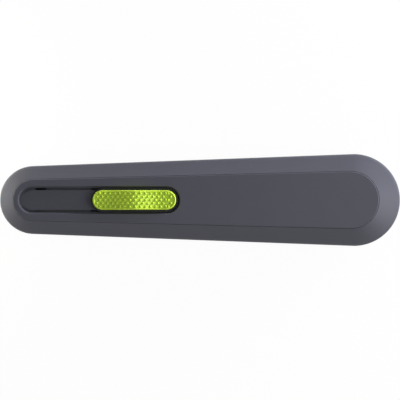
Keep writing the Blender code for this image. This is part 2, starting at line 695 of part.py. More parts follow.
def make_blade_carrier():
    """Sled that carries the blade: plate, ridge under the track, cheeks, notch peg and spring post."""
    look = "black_acetal"
    plate = rectangle(BASE_FRONT, BASE_REAR, CHEEK_OUTER, CARRIER_CORNER)
    carrier = prism("blade_carrier", plate, CARRIER_UNDER, PLATE_TOP, look)
    middle = (CARRIER_UNDER + PLATE_TOP) / 2
    ridge = slot_outline(BASE_FRONT + FIT_GAP, BASE_REAR - FIT_GAP, CARRIER_RIDGE_WIDTH / 2)
    fuse(carrier, prism("carrier_ridge", ridge, middle, CARRIER_TOP))
    cheek_x = (SLIDE_X - CHEEK_LEAD, BASE_REAR - CARRIER_CORNER)
    fuse(carrier, box("cheek_left", cheek_x, (-CHEEK_OUTER, -CHEEK_INNER), (CHEEK_UNDER, middle)))
    fuse(carrier, box("cheek_right", cheek_x, (CHEEK_INNER, CHEEK_OUTER), (CHEEK_UNDER, middle)))
    notch_x = BLADE_X + NOTCH_SPACING / 2
    peg_half = NOTCH_WIDTH / 2 - PIN_GAP
    peg_y = (BLADE_HEIGHT / 2 - NOTCH_DEPTH + PIN_GAP, BLADE_HEIGHT / 2 - PIN_GAP)
    fuse(carrier, box("notch_peg", (notch_x - peg_half, notch_x + peg_half), peg_y, (BLADE_UNDER, middle)))
    tail = (BASE_REAR - CARRIER_CORNER, TONGUE_END)
    tail_outline = rectangle(*tail, TONGUE_WIDTH / 2, POST_MARGIN - PIN_GAP)
    fuse(carrier, prism("carrier_tail", tail_outline, CARRIER_UNDER + PIN_GAP / 2, PLATE_TOP - PIN_GAP / 2))
    post_steps = [
        (POST_HEAD, POST_UNDER - POST_HEAD_HEIGHT),
        (POST_HEAD, POST_UNDER),
        (POST_DIAMETER, POST_UNDER),
        (POST_DIAMETER, middle),
    ]
    post = turned("spring_post", post_steps)
    post.location = (POST_X, 0.0, 0.0)
    fuse(carrier, post)
    slot_z = (CARRIER_UNDER - OVERSHOOT, CARRIER_TOP + OVERSHOOT)
    relief_z = (CARRIER_UNDER - OVERSHOOT, CARRIER_UNDER + FIT_GAP + BARB_HEIGHT + FIT_GAP)
    relief_inner = SLIT_INNER - LEG_GAP
    relief_outer = relief_inner + BARB_RELIEF + BARB_REACH
    for name, side, front, rear in leg_places():
        slot_y = sorted((side * SLIT_INNER, side * SLIT_OUTER))
        relief_y = sorted((side * relief_inner, side * relief_outer))
        slot_x = (front - FIT_GAP, rear + FIT_GAP)
        relief_x = (front - 2 * FIT_GAP, rear + 2 * FIT_GAP)
        cut(carrier, box(f"leg_slot_{name}", slot_x, slot_y, slot_z))
        cut(carrier, box(f"barb_relief_{name}", relief_x, relief_y, relief_z))
    hole = RIVET_DIAMETER + 2 * PIN_GAP
    hole_top = KEEPER_FOOT_TOP + RIVET_LENGTH + FIT_GAP
    for name, across in (("left", -RIVET_SPACING / 2), ("right", RIVET_SPACING / 2)):
        place = (RIVET_X, across)
        cut(carrier, rod(f"rivet_hole_{name}", hole, place, CARRIER_UNDER - OVERSHOOT, hole_top))
    return carrier


def make_keeper():
    """Joggled spring strip: a tongue under the blade and a foot riveted to the carrier."""
    tip = FOOT_END - KEEPER_FOOT - KEEPER_REACH
    low = KEEPER_TOP - KEEPER_THICKNESS
    foot_low = KEEPER_FOOT_TOP - KEEPER_THICKNESS
    profile = [
        (tip, low),
        (KEEPER_BEND + KEEPER_THICKNESS / 2, low),
        (FOOT_START + KEEPER_THICKNESS / 2, foot_low),
        (FOOT_END, foot_low),
        (FOOT_END, KEEPER_FOOT_TOP),
        (FOOT_START, KEEPER_FOOT_TOP),
        (KEEPER_BEND, KEEPER_TOP),
        (tip, KEEPER_TOP),
    ]
    half = KEEPER_WIDTH / 2
    keeper = extrude_along("blade_keeper", profile, -half, half, "Y", "spring_steel")
    hole = RIVET_DIAMETER + 2 * PIN_GAP
    for name, across in (("left", -RIVET_SPACING / 2), ("right", RIVET_SPACING / 2)):
        place = (RIVET_X, across)
        cut(keeper, rod(f"keeper_hole_{name}", hole, place, foot_low - OVERSHOOT, CARRIER_UNDER))
    return keeper


def make_rivets():
    """Two rivets through the keeper's foot into the carrier."""
    head_top = KEEPER_FOOT_TOP - KEEPER_THICKNESS - PIN_GAP
    steps = [
        (RIVET_HEAD, head_top - RIVET_HEAD_HEIGHT),
        (RIVET_HEAD, head_top),
        (RIVET_DIAMETER, head_top),
        (RIVET_DIAMETER, KEEPER_FOOT_TOP + RIVET_LENGTH),
    ]
    rivets = []
    for name, across in (("left", -RIVET_SPACING / 2), ("right", RIVET_SPACING / 2)):
        rivet = turned(f"keeper_rivet_{name}", steps, "zinc_steel")
        rivet.location = (RIVET_X, across, 0.0)
        rivets.append(rivet)
    return rivets


def spring_end(post_x, facing):
    """One end of the spring, from the tip of its hook to where the coils begin."""
    points = []
    steps = 8
    for step in range(steps + 1):
        angle = math.pi * step / steps
        along = post_x + facing * HOOK_RADIUS * math.sin(angle)
        points.append(Vector((along, -HOOK_RADIUS * math.cos(angle), SPRING_Z)))
    coil_x = post_x - facing * COIL_LEAD
    swing = COIL_BEND / COIL_RADIUS
    for step in range(4):
        share = step / 4
        along = coil_x + facing * COIL_BEND * (1 - share) ** 2
        turn = -facing * swing * share**2
        across = COIL_RADIUS * math.cos(turn)
        points.append(Vector((along, across, SPRING_Z + COIL_RADIUS * math.sin(turn))))
    return points, coil_x, -facing * swing


def spring_points():
    """The wire's middle line: a hook, evenly spaced coils and a second hook."""
    front, front_x, front_turn = spring_end(POST_X, -1)
    rear, rear_x, rear_turn = spring_end(ANCHOR_X, 1)
    turns = math.floor((rear_x - front_x) / COIL_PITCH)
    full = 2 * math.pi * turns + rear_turn - front_turn
    count = round(turns * COIL_POINTS)
    coils = []
    for step in range(count + 1):
        share = step / count
        turn = front_turn + full * share
        along = front_x + (rear_x - front_x) * share
        height = SPRING_Z + COIL_RADIUS * math.sin(turn)
        coils.append(Vector((along, COIL_RADIUS * math.cos(turn), height)))
    return front + coils + rear[::-1]


def least_gap(points):
    """Smallest gap between two stretches of wire that aren't neighbours along it."""
    nearest = min(
        (first - second).length
        for index, first in enumerate(points)
        for second in points[index + COIL_POINTS // 2 + 1 :]
    )
    return nearest - WIRE


def make_spring():
    """Extension spring, one unbroken round wire."""
    points = spring_points()
    print(f"return_spring: least gap to itself {least_gap(points) / MM:.2f} mm")
    path = bpy.data.curves.new("return_spring", "CURVE")
    path.dimensions = "3D"
    path.bevel_depth = WIRE / 2
    path.bevel_resolution = 1
    path.use_fill_caps = True
    wire = path.splines.new("POLY")
    wire.points.add(len(points) - 1)
    for knot, point in zip(wire.points, points):
        knot.co = (*point, 1.0)
    path.materials.append(make_material("spring_steel"))
    spring = bpy.data.objects.new("return_spring", path)
    bpy.context.scene.collection.objects.link(spring)
    return spring


def make_anchor_pin():
    """Steel dowel held between both shells, which the spring's rear hook goes round."""
    low = WALL + FIT_GAP
    high = THICKNESS - WALL - FIT_GAP
    pin = turned("spring_anchor_pin", [(POST_DIAMETER, low), (POST_DIAMETER, high)], "zinc_steel")
    pin.location = (ANCHOR_X, 0.0, 0.0)
    return pin


def make_screws():
    """Three shell screws with flat pan heads sunk in the back, and their brass inserts."""
    head_top = SCREW_SINK + SCREW_HEAD_HEIGHT
    bevel = SCREW_HEAD_HEIGHT / 4
    screw_steps = [
        (SCREW_HEAD - 2 * bevel, SCREW_SINK),
        (SCREW_HEAD, SCREW_SINK + bevel),
        (SCREW_HEAD, head_top),
        (SCREW_DIAMETER, head_top),
        (SCREW_DIAMETER, INSERT_TOP - SCREW_DIAMETER / 4),
        (SCREW_DIAMETER / 2, INSERT_TOP),
    ]
    insert_steps = [(INSERT_OUTER, INSERT_UNDER), (INSERT_OUTER, INSERT_TOP)]
    bore_steps = [(INSERT_BORE, PARTING - OVERSHOOT), (INSERT_BORE, THICKNESS)]
    fasteners = []
    for side, place in SCREW_PLACES.items():
        screw = turned(f"shell_screw_{side}", screw_steps, "zinc_steel")
        insert = turned(f"screw_insert_{side}", insert_steps, "brass")
        bore = turned(f"insert_bore_{side}", bore_steps)
        for piece in (screw, insert, bore):
            piece.location = (*place, 0.0)
        cut(insert, bore)
        fasteners += [screw, insert]
    return fasteners


def make_empty(name, place):
    """A reference point that pieces hang on."""
    point = bpy.data.objects.new(name, None)
    point.location = place
    point.empty_display_size = WALL
    bpy.context.scene.collection.objects.link(point)
    return point


def carry(parent, pieces):
    """Parent pieces to a reference point where they are."""
    bpy.context.view_layer.update()
    for piece in pieces:
        piece.parent = parent
        piece.matrix_parent_inverse = parent.matrix_world.inverted()


def main():
    for old in list(bpy.data.objects):
        bpy.data.objects.remove(old)
    mouth = make_mouth()
    fixed = [make_top_shell(mouth), make_bottom_shell(mouth), make_spring(), make_anchor_pin()]
    fixed += make_screws()
    moving = [make_thumb_cap(), make_slider_base(), make_blade(), make_blade_carrier(), make_keeper()]
    moving += make_rivets()
    carry(make_empty("handle_origin", (0.0, 0.0, 0.0)), fixed)
    carry(make_empty("blade_slide_axis", (SLIDE_X, 0.0, PARTING)), moving)
    print(f"blade slide travel {SLIDE_TRAVEL / MM:.1f} mm")


main()
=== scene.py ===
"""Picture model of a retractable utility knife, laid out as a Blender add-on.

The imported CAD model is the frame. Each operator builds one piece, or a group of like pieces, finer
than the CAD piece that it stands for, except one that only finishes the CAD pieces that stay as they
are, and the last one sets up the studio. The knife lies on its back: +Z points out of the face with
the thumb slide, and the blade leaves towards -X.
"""

import math
from types import SimpleNamespace

import bmesh
import bpy
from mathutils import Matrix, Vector


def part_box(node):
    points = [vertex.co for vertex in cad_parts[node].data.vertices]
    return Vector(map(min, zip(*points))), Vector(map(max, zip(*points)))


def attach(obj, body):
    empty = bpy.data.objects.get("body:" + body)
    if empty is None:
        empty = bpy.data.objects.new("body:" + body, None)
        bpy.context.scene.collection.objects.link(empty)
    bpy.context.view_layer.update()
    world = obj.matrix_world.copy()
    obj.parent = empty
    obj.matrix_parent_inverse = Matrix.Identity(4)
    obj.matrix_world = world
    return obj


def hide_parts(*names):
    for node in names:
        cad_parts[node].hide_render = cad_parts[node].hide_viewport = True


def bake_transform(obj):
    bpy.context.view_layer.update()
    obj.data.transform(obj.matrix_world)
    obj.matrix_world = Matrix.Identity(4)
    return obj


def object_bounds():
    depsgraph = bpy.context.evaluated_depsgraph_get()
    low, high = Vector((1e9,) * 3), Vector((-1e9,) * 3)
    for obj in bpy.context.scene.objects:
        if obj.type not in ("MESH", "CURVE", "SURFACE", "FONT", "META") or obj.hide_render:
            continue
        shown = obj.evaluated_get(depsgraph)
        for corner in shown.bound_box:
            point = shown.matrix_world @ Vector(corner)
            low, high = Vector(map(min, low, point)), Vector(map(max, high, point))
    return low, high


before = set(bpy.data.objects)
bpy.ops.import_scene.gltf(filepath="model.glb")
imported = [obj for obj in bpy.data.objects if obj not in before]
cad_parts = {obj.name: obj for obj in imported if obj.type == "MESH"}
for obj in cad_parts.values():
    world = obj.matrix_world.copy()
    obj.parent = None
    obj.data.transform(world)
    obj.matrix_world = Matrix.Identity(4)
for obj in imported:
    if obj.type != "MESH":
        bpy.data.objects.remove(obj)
CAD_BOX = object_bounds()

bl_info = {
    "name": "Retractable Utility Knife",
    "version": (1, 0, 0),
    "blender": (4, 5, 0),
    "location": "3D View > Sidebar > Knife",
    "description": "Builds the pieces and finishes of a retractable utility knife on its CAD frame",
    "category": "Object",
}

MM = 0.001
WHITE = (1.0, 1.0, 1.0, 1.0)
# How far a cutting tool reaches past the surface that it cuts.
OVERSHOOT = 1.0 * MM
# Room between pieces that slide or close on each other, and round a pin or an insert.
FIT_GAP = 0.3 * MM
PIN_GAP = 0.2 * MM
# A face of four corners that is further from flat than this is split.
FLATNESS = 0.00001 * MM
# Steps round a moulded edge, a small edge and the edge of a screw head.
EDGE_STEPS = 6
SMALL_EDGE_STEPS = 3
HEAD_STEPS = 5
# Steps round a spring's hook, along its bend and round each coil.
HOOK_STEPS = 24
BEND_STEPS = 12
COIL_STEPS = 28
# Where the rails under the blade and under its carrier start, behind the centre of the nose arc,
# and how far the carrier's rails lie inside its sides.
BLADE_RAIL_LEAD = 1.0 * MM
CARRIER_RAIL_LEAD = 4.0 * MM
CARRIER_RAIL_INSET = 0.4 * MM
# Shares of the pitch at which a thread is at its crest, leaves it and is back at the root.
THREAD_RISE, THREAD_CREST, THREAD_FALL = 0.4, 0.5, 0.9
# Sizes of the studio in metres.
FLOOR_SIZE = 4.0
VIEW_DEPTH = 20.0
SCREWS = ("shell_screw_left", "shell_screw_right", "shell_screw_tail")
INSERTS = ("screw_insert_left", "screw_insert_right", "screw_insert_tail")
RIVETS = ("keeper_rivet_left", "keeper_rivet_right")

# What each finish gives the eye, with its lengths in millimetres.
PLASTICS = {
    # Matt, slightly blue dark grey whose glass fibre scatters the highlights.
    "moulded_glass_filled_nylon": dict(
        tone="nylon", grain=0.3, depth=0.006, roughness=0.5, streak=9.0, ior=1.53
    ),
    # Clear, smooth green with a soft sheen on every pip.
    "moulded_lime_abs": dict(tone="lime", grain=0.3, depth=0.006, roughness=0.4, streak=6.0, ior=1.53),
    # Waxy near black, as on a sliding part.
    "moulded_black_acetal": dict(
        tone="acetal", grain=0.35, depth=0.008, roughness=0.5, streak=7.0, ior=1.48
    ),
}
METALS = {
    # Black oxide over fine parallel grinding lines, ground bright along the cutting edge.
    "black_oxide_blade_steel": dict(
        tone="blade", mark=0.25, stretch=(1.0, 0.04, 1.0), roughness=0.38, depth=0.004
    ),
    # Dull grey wire with die marks along its length.
    "drawn_spring_steel": dict(
        tone="spring", mark=0.3, stretch=(0.3, 1.0, 1.0), roughness=0.32, depth=0.004
    ),
    # Satin plate with a faint crystal mottle.
    "zinc_plated_steel": dict(
        tone="zinc", mark=0.5, stretch=(1.0, 1.0, 1.0), roughness=0.36, depth=0.006
    ),
    # Warm yellow with rings from the lathe round its axis.
    "turned_brass": dict(tone="brass", mark=0.3, stretch=(0.05, 0.05, 1.0), roughness=0.3, depth=0.006),
}

# Each soft box: its place, its width and height, the colour of its light, and whether a sheen mirrors it.
SOFTBOXES = {
    "key": ((0.37, -0.05, 0.33), (0.33, 0.28), "plain", True),
    "tail": ((0.34, 0.21, 0.06), (0.28, 0.06), "plain", False),
    "side": ((0.02, 0.6, 0.09), (0.9, 0.09), "warm", False),
    "low": ((0.02, -0.6, 0.11), (0.9, 0.09), "warm", False),
}


def linear(code):
    """Turn an sRGB hex value into the linear colour that a shader takes."""
    shares = [int(code[place : place + 2], 16) / 255 for place in (1, 3, 5)]
    levels = [share / 12.92 if share <= 0.04045 else ((share + 0.055) / 1.055) ** 2.4 for share in shares]
    return (*levels, 1.0)


def length(name, description, millimetres):
    """A length that a user may change, written here in millimetres."""
    return bpy.props.FloatProperty(
        name=name,
        description=description,
        default=millimetres * MM,
        min=0.0,
        precision=5,
        subtype="DISTANCE",
        unit="LENGTH",
    )


def colour(name, description, code):
    """A colour that a user may change, written here as an sRGB hex value."""
    return bpy.props.FloatVectorProperty(
        name=name,
        description=description,
        default=linear(code),
        min=0.0,
        max=1.0,
        size=4,
        subtype="COLOR",
    )


def amount(name, description, default):
    """A whole number that a user may change."""
    return bpy.props.IntProperty(name=name, description=description, default=default, min=1)


def fraction(name, description, default):
    """A share of the whole that a user may change."""
    return bpy.props.FloatProperty(
        name=name, description=description, default=default, min=0.0, max=1.0, subtype="FACTOR"
    )


def power(name, description, watts):
    """A lamp's power that a user may change."""
    return bpy.props.FloatProperty(
        name=name, description=description, default=watts, min=0.0, unit="POWER"
    )


class KNIFE_PG_handle(bpy.types.PropertyGroup):
    """Sizes of the moulded handle that its CAD box doesn't give."""

    nose_radius: length("Nose radius", "Radius of the blade end, seen from above", 13.6)
    face_nose_radius: length("Face nose radius", "Radius of the flat face at the blade end", 8.2)
    face_tail_radius: length("Face tail radius", "Radius of the flat face at the tail", 11.4)
    face_nose_inset: length("Nose chamfer", "Width of the chamfer at the blade end", 5.1)
    face_tail_inset: length("Tail chamfer", "Width of the chamfer at the tail", 8.5)
    chamfer_height: length("Chamfer height", "Height of the broad chamfer", 4.2)
    edge_round: length("Edge round", "Reach of the round between side wall and chamfer", 0.9)
    face_step: length("Face step", "Height of the steep little step round the flat face", 0.4)
    face_crease: length("Face crease", "Width and depth of the fine crease between chamfer and step", 0.18)
    face_round: length("Face round", "Radius of the flat face's own edge", 0.1)
    seam_round: length("Seam round", "Radius of the broken edge along the seam", 0.15)
    wall: length("Wall", "Wall thickness of both shells", 2.0)
    tongue: length("Tongue", "Thickness of the back shell's tongue", 0.85)
    recess_setback: length("Recess setback", "Distance from the nose to the recess", 7.45)
    recess_length: length("Recess length", "Length of the recess at the face", 64.55)
    recess_width: length("Recess width", "Width of the recess at the face", 10.88)
    recess_depth: length("Recess depth", "Depth of the recess floor", 2.2)
    recess_draft: length("Recess draft", "Lean of the recess walls over their height", 0.44)
    recess_rim: length("Recess rim", "Radius of the round along the rim of the recess", 0.35)
    floor_thickness: length("Recess floor", "Thickness of the recess floor", 1.6)
    floor_groove: length("Floor groove", "Depth of the groove that leads into the slits", 0.75)
    floor_width: length("Floor width", "Width of the recess floor between its slits", 7.9)
    slit_width: length("Slit width", "Width of the slits that the slide's legs pass through", 0.85)
    slit_setback: length("Slit setback", "Distance from the nose to the slits", 14.2)
    track_wall: length("Track wall", "Wall round the recess, inside the handle", 1.4)
    boss_wall: length("Boss wall", "Wall of a screw boss round its counterbore", 1.1)
    anchor_boss: length("Anchor boss", "Diameter of the boss that holds the spring's pin", 6.0)
    anchor_depth: length("Anchor depth", "Height of that boss above the inner face", 3.2)
    rib_width: length("Rib width", "Thickness of the ribs and rails inside", 1.2)
    rib_height: length("Rib height", "Height of the cross ribs above the inner face", 3.0)
    blade_rails: length("Blade rails", "Spread of the rails under the blade", 11.2)
    carrier_rail_top: length("Carrier rails", "Height of the rails under the blade carrier", 7.625)
    mouth_gap: length("Mouth gap", "Clearance round the blade in the nose slot", 0.45)


class KNIFE_PG_thumb(bpy.types.PropertyGroup):
    """Sizes of the thumb cap and its raised pips."""

    rise: length("Rise", "Height of the cap's level ends above the handle's face", 0.8)
    slope_run: length("Slope run", "Distance from the crest over which both slopes stay even", 5.0)
    slope_reach: length("Slope reach", "Distance from the crest at which the cap is level again", 11.0)
    ridge_round: length("Ridge round", "Radius of the ridge's crest", 1.4)
    edge_round: length("Edge round", "Radius of the cap's upper edge", 0.5)
    rim_width: length("Rim width", "Width of the raised rim round the pips", 0.95)
    rim_height: length("Rim height", "Height of that rim above the pad", 0.34)
    peg_hole: length("Peg hole", "Diameter of the sockets for the base's pegs", 3.4)
    peg_spacing: length("Peg spacing", "Distance between the two sockets", 15.4)
    peg_depth: length("Peg depth", "Depth of the sockets", 0.8)
    pip_diameter: length("Pip diameter", "Diameter of one grip pip", 1.0)
    pip_height: length("Pip height", "Height of one grip pip", 0.55)
    pip_margin: length("Pip margin", "Distance from the cap's front tip to the first pips", 1.88)
    pip_step: length("Pip step", "Distance between neighbouring staggered columns", 1.015)
    pip_row_step: length("Pip row step", "Distance between neighbouring rows", 1.31)
    pip_columns: amount("Pip columns", "Staggered columns of pips", 30)
    pip_rows: amount("Pip rows", "Rows of pips across the cap", 5)


class KNIFE_PG_fasteners(bpy.types.PropertyGroup):
    """Sizes of the blade's grind, the shell screws and the return spring."""

    grind_width: length("Grind width", "Width of the blade's ground cutting edge", 2.2)
    shank: length("Screw shank", "Outer diameter of the screw thread", 2.6)
    thread_pitch: length("Thread pitch", "Distance between two turns of the thread", 0.55)
    thread_depth: length("Thread depth", "Depth of the thread", 0.2)
    head_height: length("Head height", "Height of the screw head", 1.6)
    head_round: length("Head round", "Reach of the round on the screw head", 0.4)
    cross_width: length("Cross width", "Width of one arm of the driver's cross recess", 0.75)
    cross_span: length("Cross span", "Length of the cross recess from tip to tip", 2.9)
    cross_depth: length("Cross depth", "Depth of the cross recess", 1.0)
    wire: length("Spring wire", "Diameter of the spring wire", 0.7)
    coil_radius: length("Coil radius", "Mean radius of the coils", 2.2)
    coil_pitch: length("Coil pitch", "Distance between two coils at rest", 1.4)
    coil_lead: length("Coil lead", "Distance from a pin to the first coil", 6.0)
    coil_bend: length("Coil bend", "Run of the bend between lead and coils", 1.5)
    hook_radius: length("Hook radius", "Radius of the hooks round the pins", 1.75)


class KNIFE_PG_finish(bpy.types.PropertyGroup):
    """Colours of the materials."""

    nylon: colour("Handle nylon", "Dark blue-grey of the moulded handle", "#44454E")
    lime: colour("Thumb cap", "Lime green of the thumb cap", "#B3D03E")
    acetal: colour("Slide acetal", "Near black of the moving inner pieces", "#0B0B0C")
    blade: colour("Blade coat", "Dark grey of the coated blade", "#595A5D")
    ground: colour("Ground edge", "Bright grey of the blade's bare ground edge", "#BCBEC2")
    spring: colour("Spring steel", "Mid grey of the drawn wire and keeper strip", "#9C9DA0")
    zinc: colour("Zinc plate", "Cool grey of the plated screws, pin and rivets", "#B4B6BA")
    brass: colour("Brass", "Yellow of the turned inserts", "#C9A24E")
    floor: colour("Floor", "Pale colour of the studio floor", "#E4E4E4")


class KNIFE_PG_stage(bpy.types.PropertyGroup):
    """Camera and light of the studio."""

    lens: bpy.props.FloatProperty(
        name="Lens",
        description="Focal length in millimetres",
        default=600.0,
        min=10.0,
        subtype="DISTANCE_CAMERA",
    )
    fill: fraction("Fill", "Even light from all round", 0.22)
    key_lamp: power("Key lamp", "Power of the high soft box off the tail", 1.3)
    tail_lamp: power("Tail lamp", "Power of the low soft box off the tail", 3.75)
    side_lamp: power("Side lamp", "Power of the low soft box along the upper side", 0.6)
    low_lamp: power("Low lamp", "Power of the low soft box along the lower side", 1.35)
    nose_lamp: power("Nose lamp", "Power of the small soft box by the nose", 0.15)
    plain: colour("Plain light", "Colour of the soft boxes off the tail", "#FFFFFF")
    warm: colour("Warm light", "Colour of the soft boxes along the sides and by the nose", "#FFFBE8")
    shadow: fraction("Floor shadow", "Share of the floor's own shading that the camera sees", 0.04)


def add_node(tree, kind, sockets=None, **settings):
    """Add a node, give it its settings, then fill its inputs with values or links."""
    node = tree.nodes.new(kind)
    for name, value in settings.items():
        setattr(node, name, value)
    for key, value in (sockets or {}).items():
        if isinstance(value, bpy.types.NodeSocket):
            tree.links.new(value, node.inputs[key])
        else:
            node.inputs[key].default_value = value
    return node


def new_material(name):
    """A fresh material with its node tree, its shader and its Object coordinates."""
    material = bpy.data.materials.new(name)
    material.use_nodes = True
    tree = material.node_tree
    place = add_node(tree, "ShaderNodeTexCoord").outputs["Object"]
    return material, tree, tree.nodes["Principled BSDF"], place


def shade(tone, factor):
    """A colour made darker or lighter by a factor."""
    return (*(min(level * factor, 1.0) for level in tone[:3]), 1.0)


def set_surface(tree, body, texture, roughness, spread, strength, depth):
    """Give a shader its body colour, and let one texture drive its gloss and relief."""
    inputs = tree.nodes["Principled BSDF"].inputs
    value = texture.outputs["Fac"]
    limits = {"Value": value, "To Min": roughness - spread, "To Max": roughness + spread}
    gloss = add_node(tree, "ShaderNodeMapRange", limits)
    relief = add_node(
        tree, "ShaderNodeBump", {"Height": value, "Strength": strength, "Distance": depth * MM}
    )
    tree.links.new(body.outputs[2], inputs["Base Color"])
    tree.links.new(gloss.outputs["Result"], inputs["Roughness"])
    tree.links.new(relief.outputs["Normal"], inputs["Normal"])


def moulded_plastic(name, tone, grain, depth, roughness, streak, ior):
    """Injection-moulded plastic: an even tone, a fine tool grain and a faint flow mark."""
    material, tree, shader, place = new_material(name)
    # The eroded grain of a mould is about 0.1 mm, and it is drawn coarser so that it shows.
    fine = add_node(tree, "ShaderNodeTexNoise", {"Vector": place, "Scale": 1 / (grain * MM), "Detail": 3.0})
    broad = add_node(tree, "ShaderNodeTexNoise", {"Vector": place, "Scale": 1 / (streak * MM), "Detail": 2.0})
    halves = {0: 0.5, 2: broad.outputs["Fac"], 3: fine.outputs["Fac"]}
    speckle = add_node(tree, "ShaderNodeMix", halves, data_type="FLOAT")
    tones = {0: speckle.outputs[0], 6: shade(tone, 0.9), 7: shade(tone, 1.1)}
    body = add_node(tree, "ShaderNodeMix", tones, data_type="RGBA")
    set_surface(tree, body, fine, roughness, spread=0.06, strength=0.35, depth=depth)
    shader.inputs["IOR"].default_value = ior
    shader.inputs["Specular IOR Level"].default_value = 0.3
    return material


def worked_metal(name, tone, mark, stretch, roughness, depth):
    """Bare or plated metal with the marks of its making, drawn out along one axis."""
    material, tree, shader, place = new_material(name)
    turned = add_node(tree, "ShaderNodeMapping", {"Vector": place, "Scale": stretch}).outputs["Vector"]
    marks = add_node(tree, "ShaderNodeTexNoise", {"Vector": turned, "Scale": 1 / (mark * MM), "Detail": 4.0})
    tones = {0: marks.outputs["Fac"], 6: shade(tone, 0.8), 7: tone}
    body = add_node(tree, "ShaderNodeMix", tones, data_type="RGBA")
    set_surface(tree, body, marks, roughness, spread=0.08, strength=0.3, depth=depth)
    shader.inputs["Metallic"].default_value = 1.0
    return material


def bare_edge(material, limit, tone):
    """Show the ground metal where a grind has taken the coat off, below a limit across the piece."""
    tree = material.node_tree
    colour_input = tree.nodes["Principled BSDF"].inputs["Base Color"]
    place = add_node(tree, "ShaderNodeTexCoord").outputs["Object"]
    across = add_node(tree, "ShaderNodeSeparateXYZ", {"Vector": place}).outputs["Y"]
    bare = add_node(tree, "ShaderNodeMath", {0: across, 1: limit}, operation="LESS_THAN").outputs[0]
    coat = colour_input.links[0].from_socket
    body = add_node(tree, "ShaderNodeMix", {0: bare, 6: coat, 7: tone}, data_type="RGBA")
    tree.links.new(body.outputs[2], colour_input)


def finish(scene, name):
    """The material of this name, made on first use from the user's colours."""
    known = bpy.data.materials.get(name)
    if known:
        return known
    colours = scene.knife_finish
    recipe = dict(PLASTICS.get(name) or METALS[name])
    tone = tuple(getattr(colours, recipe.pop("tone")))
    if name in PLASTICS:
        return moulded_plastic(name, tone, **recipe)
    material = worked_metal(name, tone, **recipe)
    if name == "black_oxide_blade_steel":
        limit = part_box("blade")[0].y + scene.knife_fasteners.grind_width
        bare_edge(material, limit, tuple(colours.ground))
    return material


def tapered_outline(front_x, front_radius, rear_x, rear_radius, steps=72):
    """Anticlockwise outline of two end arcs and the straight lines that touch both."""
    lean = math.asin((rear_radius - front_radius) / (rear_x - front_x))
    side = math.pi / 2 + lean
    outline = []
    for x, radius, start, turn in (
        (rear_x, rear_radius, -side, 2 * side),
        (front_x, front_radius, side, 2 * (math.pi - side)),
    ):
        for step in range(steps + 1):
            angle = start + turn * step / steps
            outline.append((x + radius * math.cos(angle), radius * math.sin(angle)))
    return outline


def slot_outline(front, rear, radius):
    """Outline of a slot with round ends, from its front tip to its rear tip."""
    return tapered_outline(front + radius, radius, rear - radius, radius)


def circle(diameter, place=(0.0, 0.0), steps=48):
    """Points round a circle."""
    turns = [2 * math.pi * step / steps for step in range(steps)]
    radius = diameter / 2
    return [(place[0] + radius * math.cos(turn), place[1] + radius * math.sin(turn)) for turn in turns]


def ring(outline, height):
    """Lift a flat outline to a height."""
    return [Vector((x, y, height)) for x, y in outline]


def mix_rings(first, second, share):
    """The ring that lies this share of the way from the first to the second."""
    return [a.lerp(b, share) for a, b in zip(first, second)]


def quarter_turn(steps):
    """Angles from nothing to a right angle, in even steps."""
    return [math.pi / 2 * step / steps for step in range(steps + 1)]


def round_edge(before, corner, after, steps=EDGE_STEPS):
    """Rings that round off a corner between two neighbouring rings."""
    rounded = []
    for step in range(steps + 1):
        share = step / steps
        start = mix_rings(before, corner, share)
        end = mix_rings(corner, after, share)
        rounded.append(mix_rings(start, end, share))
    return rounded


def add_object(name, data):
    """A new object with this data, linked to the scene."""
    added = bpy.data.objects.new(name, data)
    bpy.context.scene.collection.objects.link(added)
    return added


def make_solid(name, shape):
    """Turn a bmesh into a linked object with its faces pointing outwards."""
    bmesh.ops.recalc_face_normals(shape, faces=shape.faces)
    mesh = bpy.data.meshes.new(name)
    shape.to_mesh(mesh)
    shape.free()
    return add_object(name, mesh)


def skin(shape, loops):
    """Faces of four corners between each loop of corners and the next."""
    faces = []
    for lower, upper in zip(loops, loops[1:]):
        for index, corner in enumerate(lower):
            after = (index + 1) % len(lower)
            faces.append(shape.faces.new((corner, lower[after], upper[after], upper[index])))
    return faces


def is_twisted(face):
    """Whether the third corner of a face lies off the plane of the other three."""
    first, second, third, fourth = (corner.co for corner in face.verts)
    normal = (second - first).cross(fourth - first).normalized()
    return abs(normal.dot(third - first)) > FLATNESS


def loft(name, rings):
    """A solid skinned over rings of equal count and closed at both ends, with twisted faces split."""
    shape = bmesh.new()
    loops = [[shape.verts.new(point) for point in points] for points in rings]
    twisted = [face for face in skin(shape, loops) if is_twisted(face)]
    shape.faces.new(loops[0])
    shape.faces.new(loops[-1])
    bmesh.ops.triangulate(shape, faces=twisted)
    return make_solid(name, shape)


def prism(name, outline, low, high):
    """An outline pulled up from one height to another."""
    return loft(name, [ring(outline, low), ring(outline, high)])


def block(name, x_range, y_range, z_range):
    """A rectangular block between three pairs of limits."""
    (x_low, x_high), (y_low, y_high) = x_range, y_range
    return prism(name, [(x_low, y_low), (x_high, y_low), (x_high, y_high), (x_low, y_high)], *z_range)


def evaluated_mesh(piece):
    """A new mesh of an object as its modifiers or its bevel make it."""
    graph = bpy.context.evaluated_depsgraph_get()
    return bpy.data.meshes.new_from_object(piece.evaluated_get(graph), depsgraph=graph)


def settle(piece):
    """Replace an object's mesh by what its modifiers make of it, and drop them."""
    settled = evaluated_mesh(piece)
    piece.modifiers.clear()
    piece.data = settled
    settled.name = piece.name
    return piece


def subtract(piece, tools):
    """Take the tools' volumes away from a piece, and remove the tools."""
    for tool in tools:
        step = piece.modifiers.new(tool.name, "BOOLEAN")
        step.operation = "DIFFERENCE"
        step.solver = "EXACT"
        step.object = tool
    settle(piece)
    for tool in tools:
        bpy.data.objects.remove(tool)
    return piece


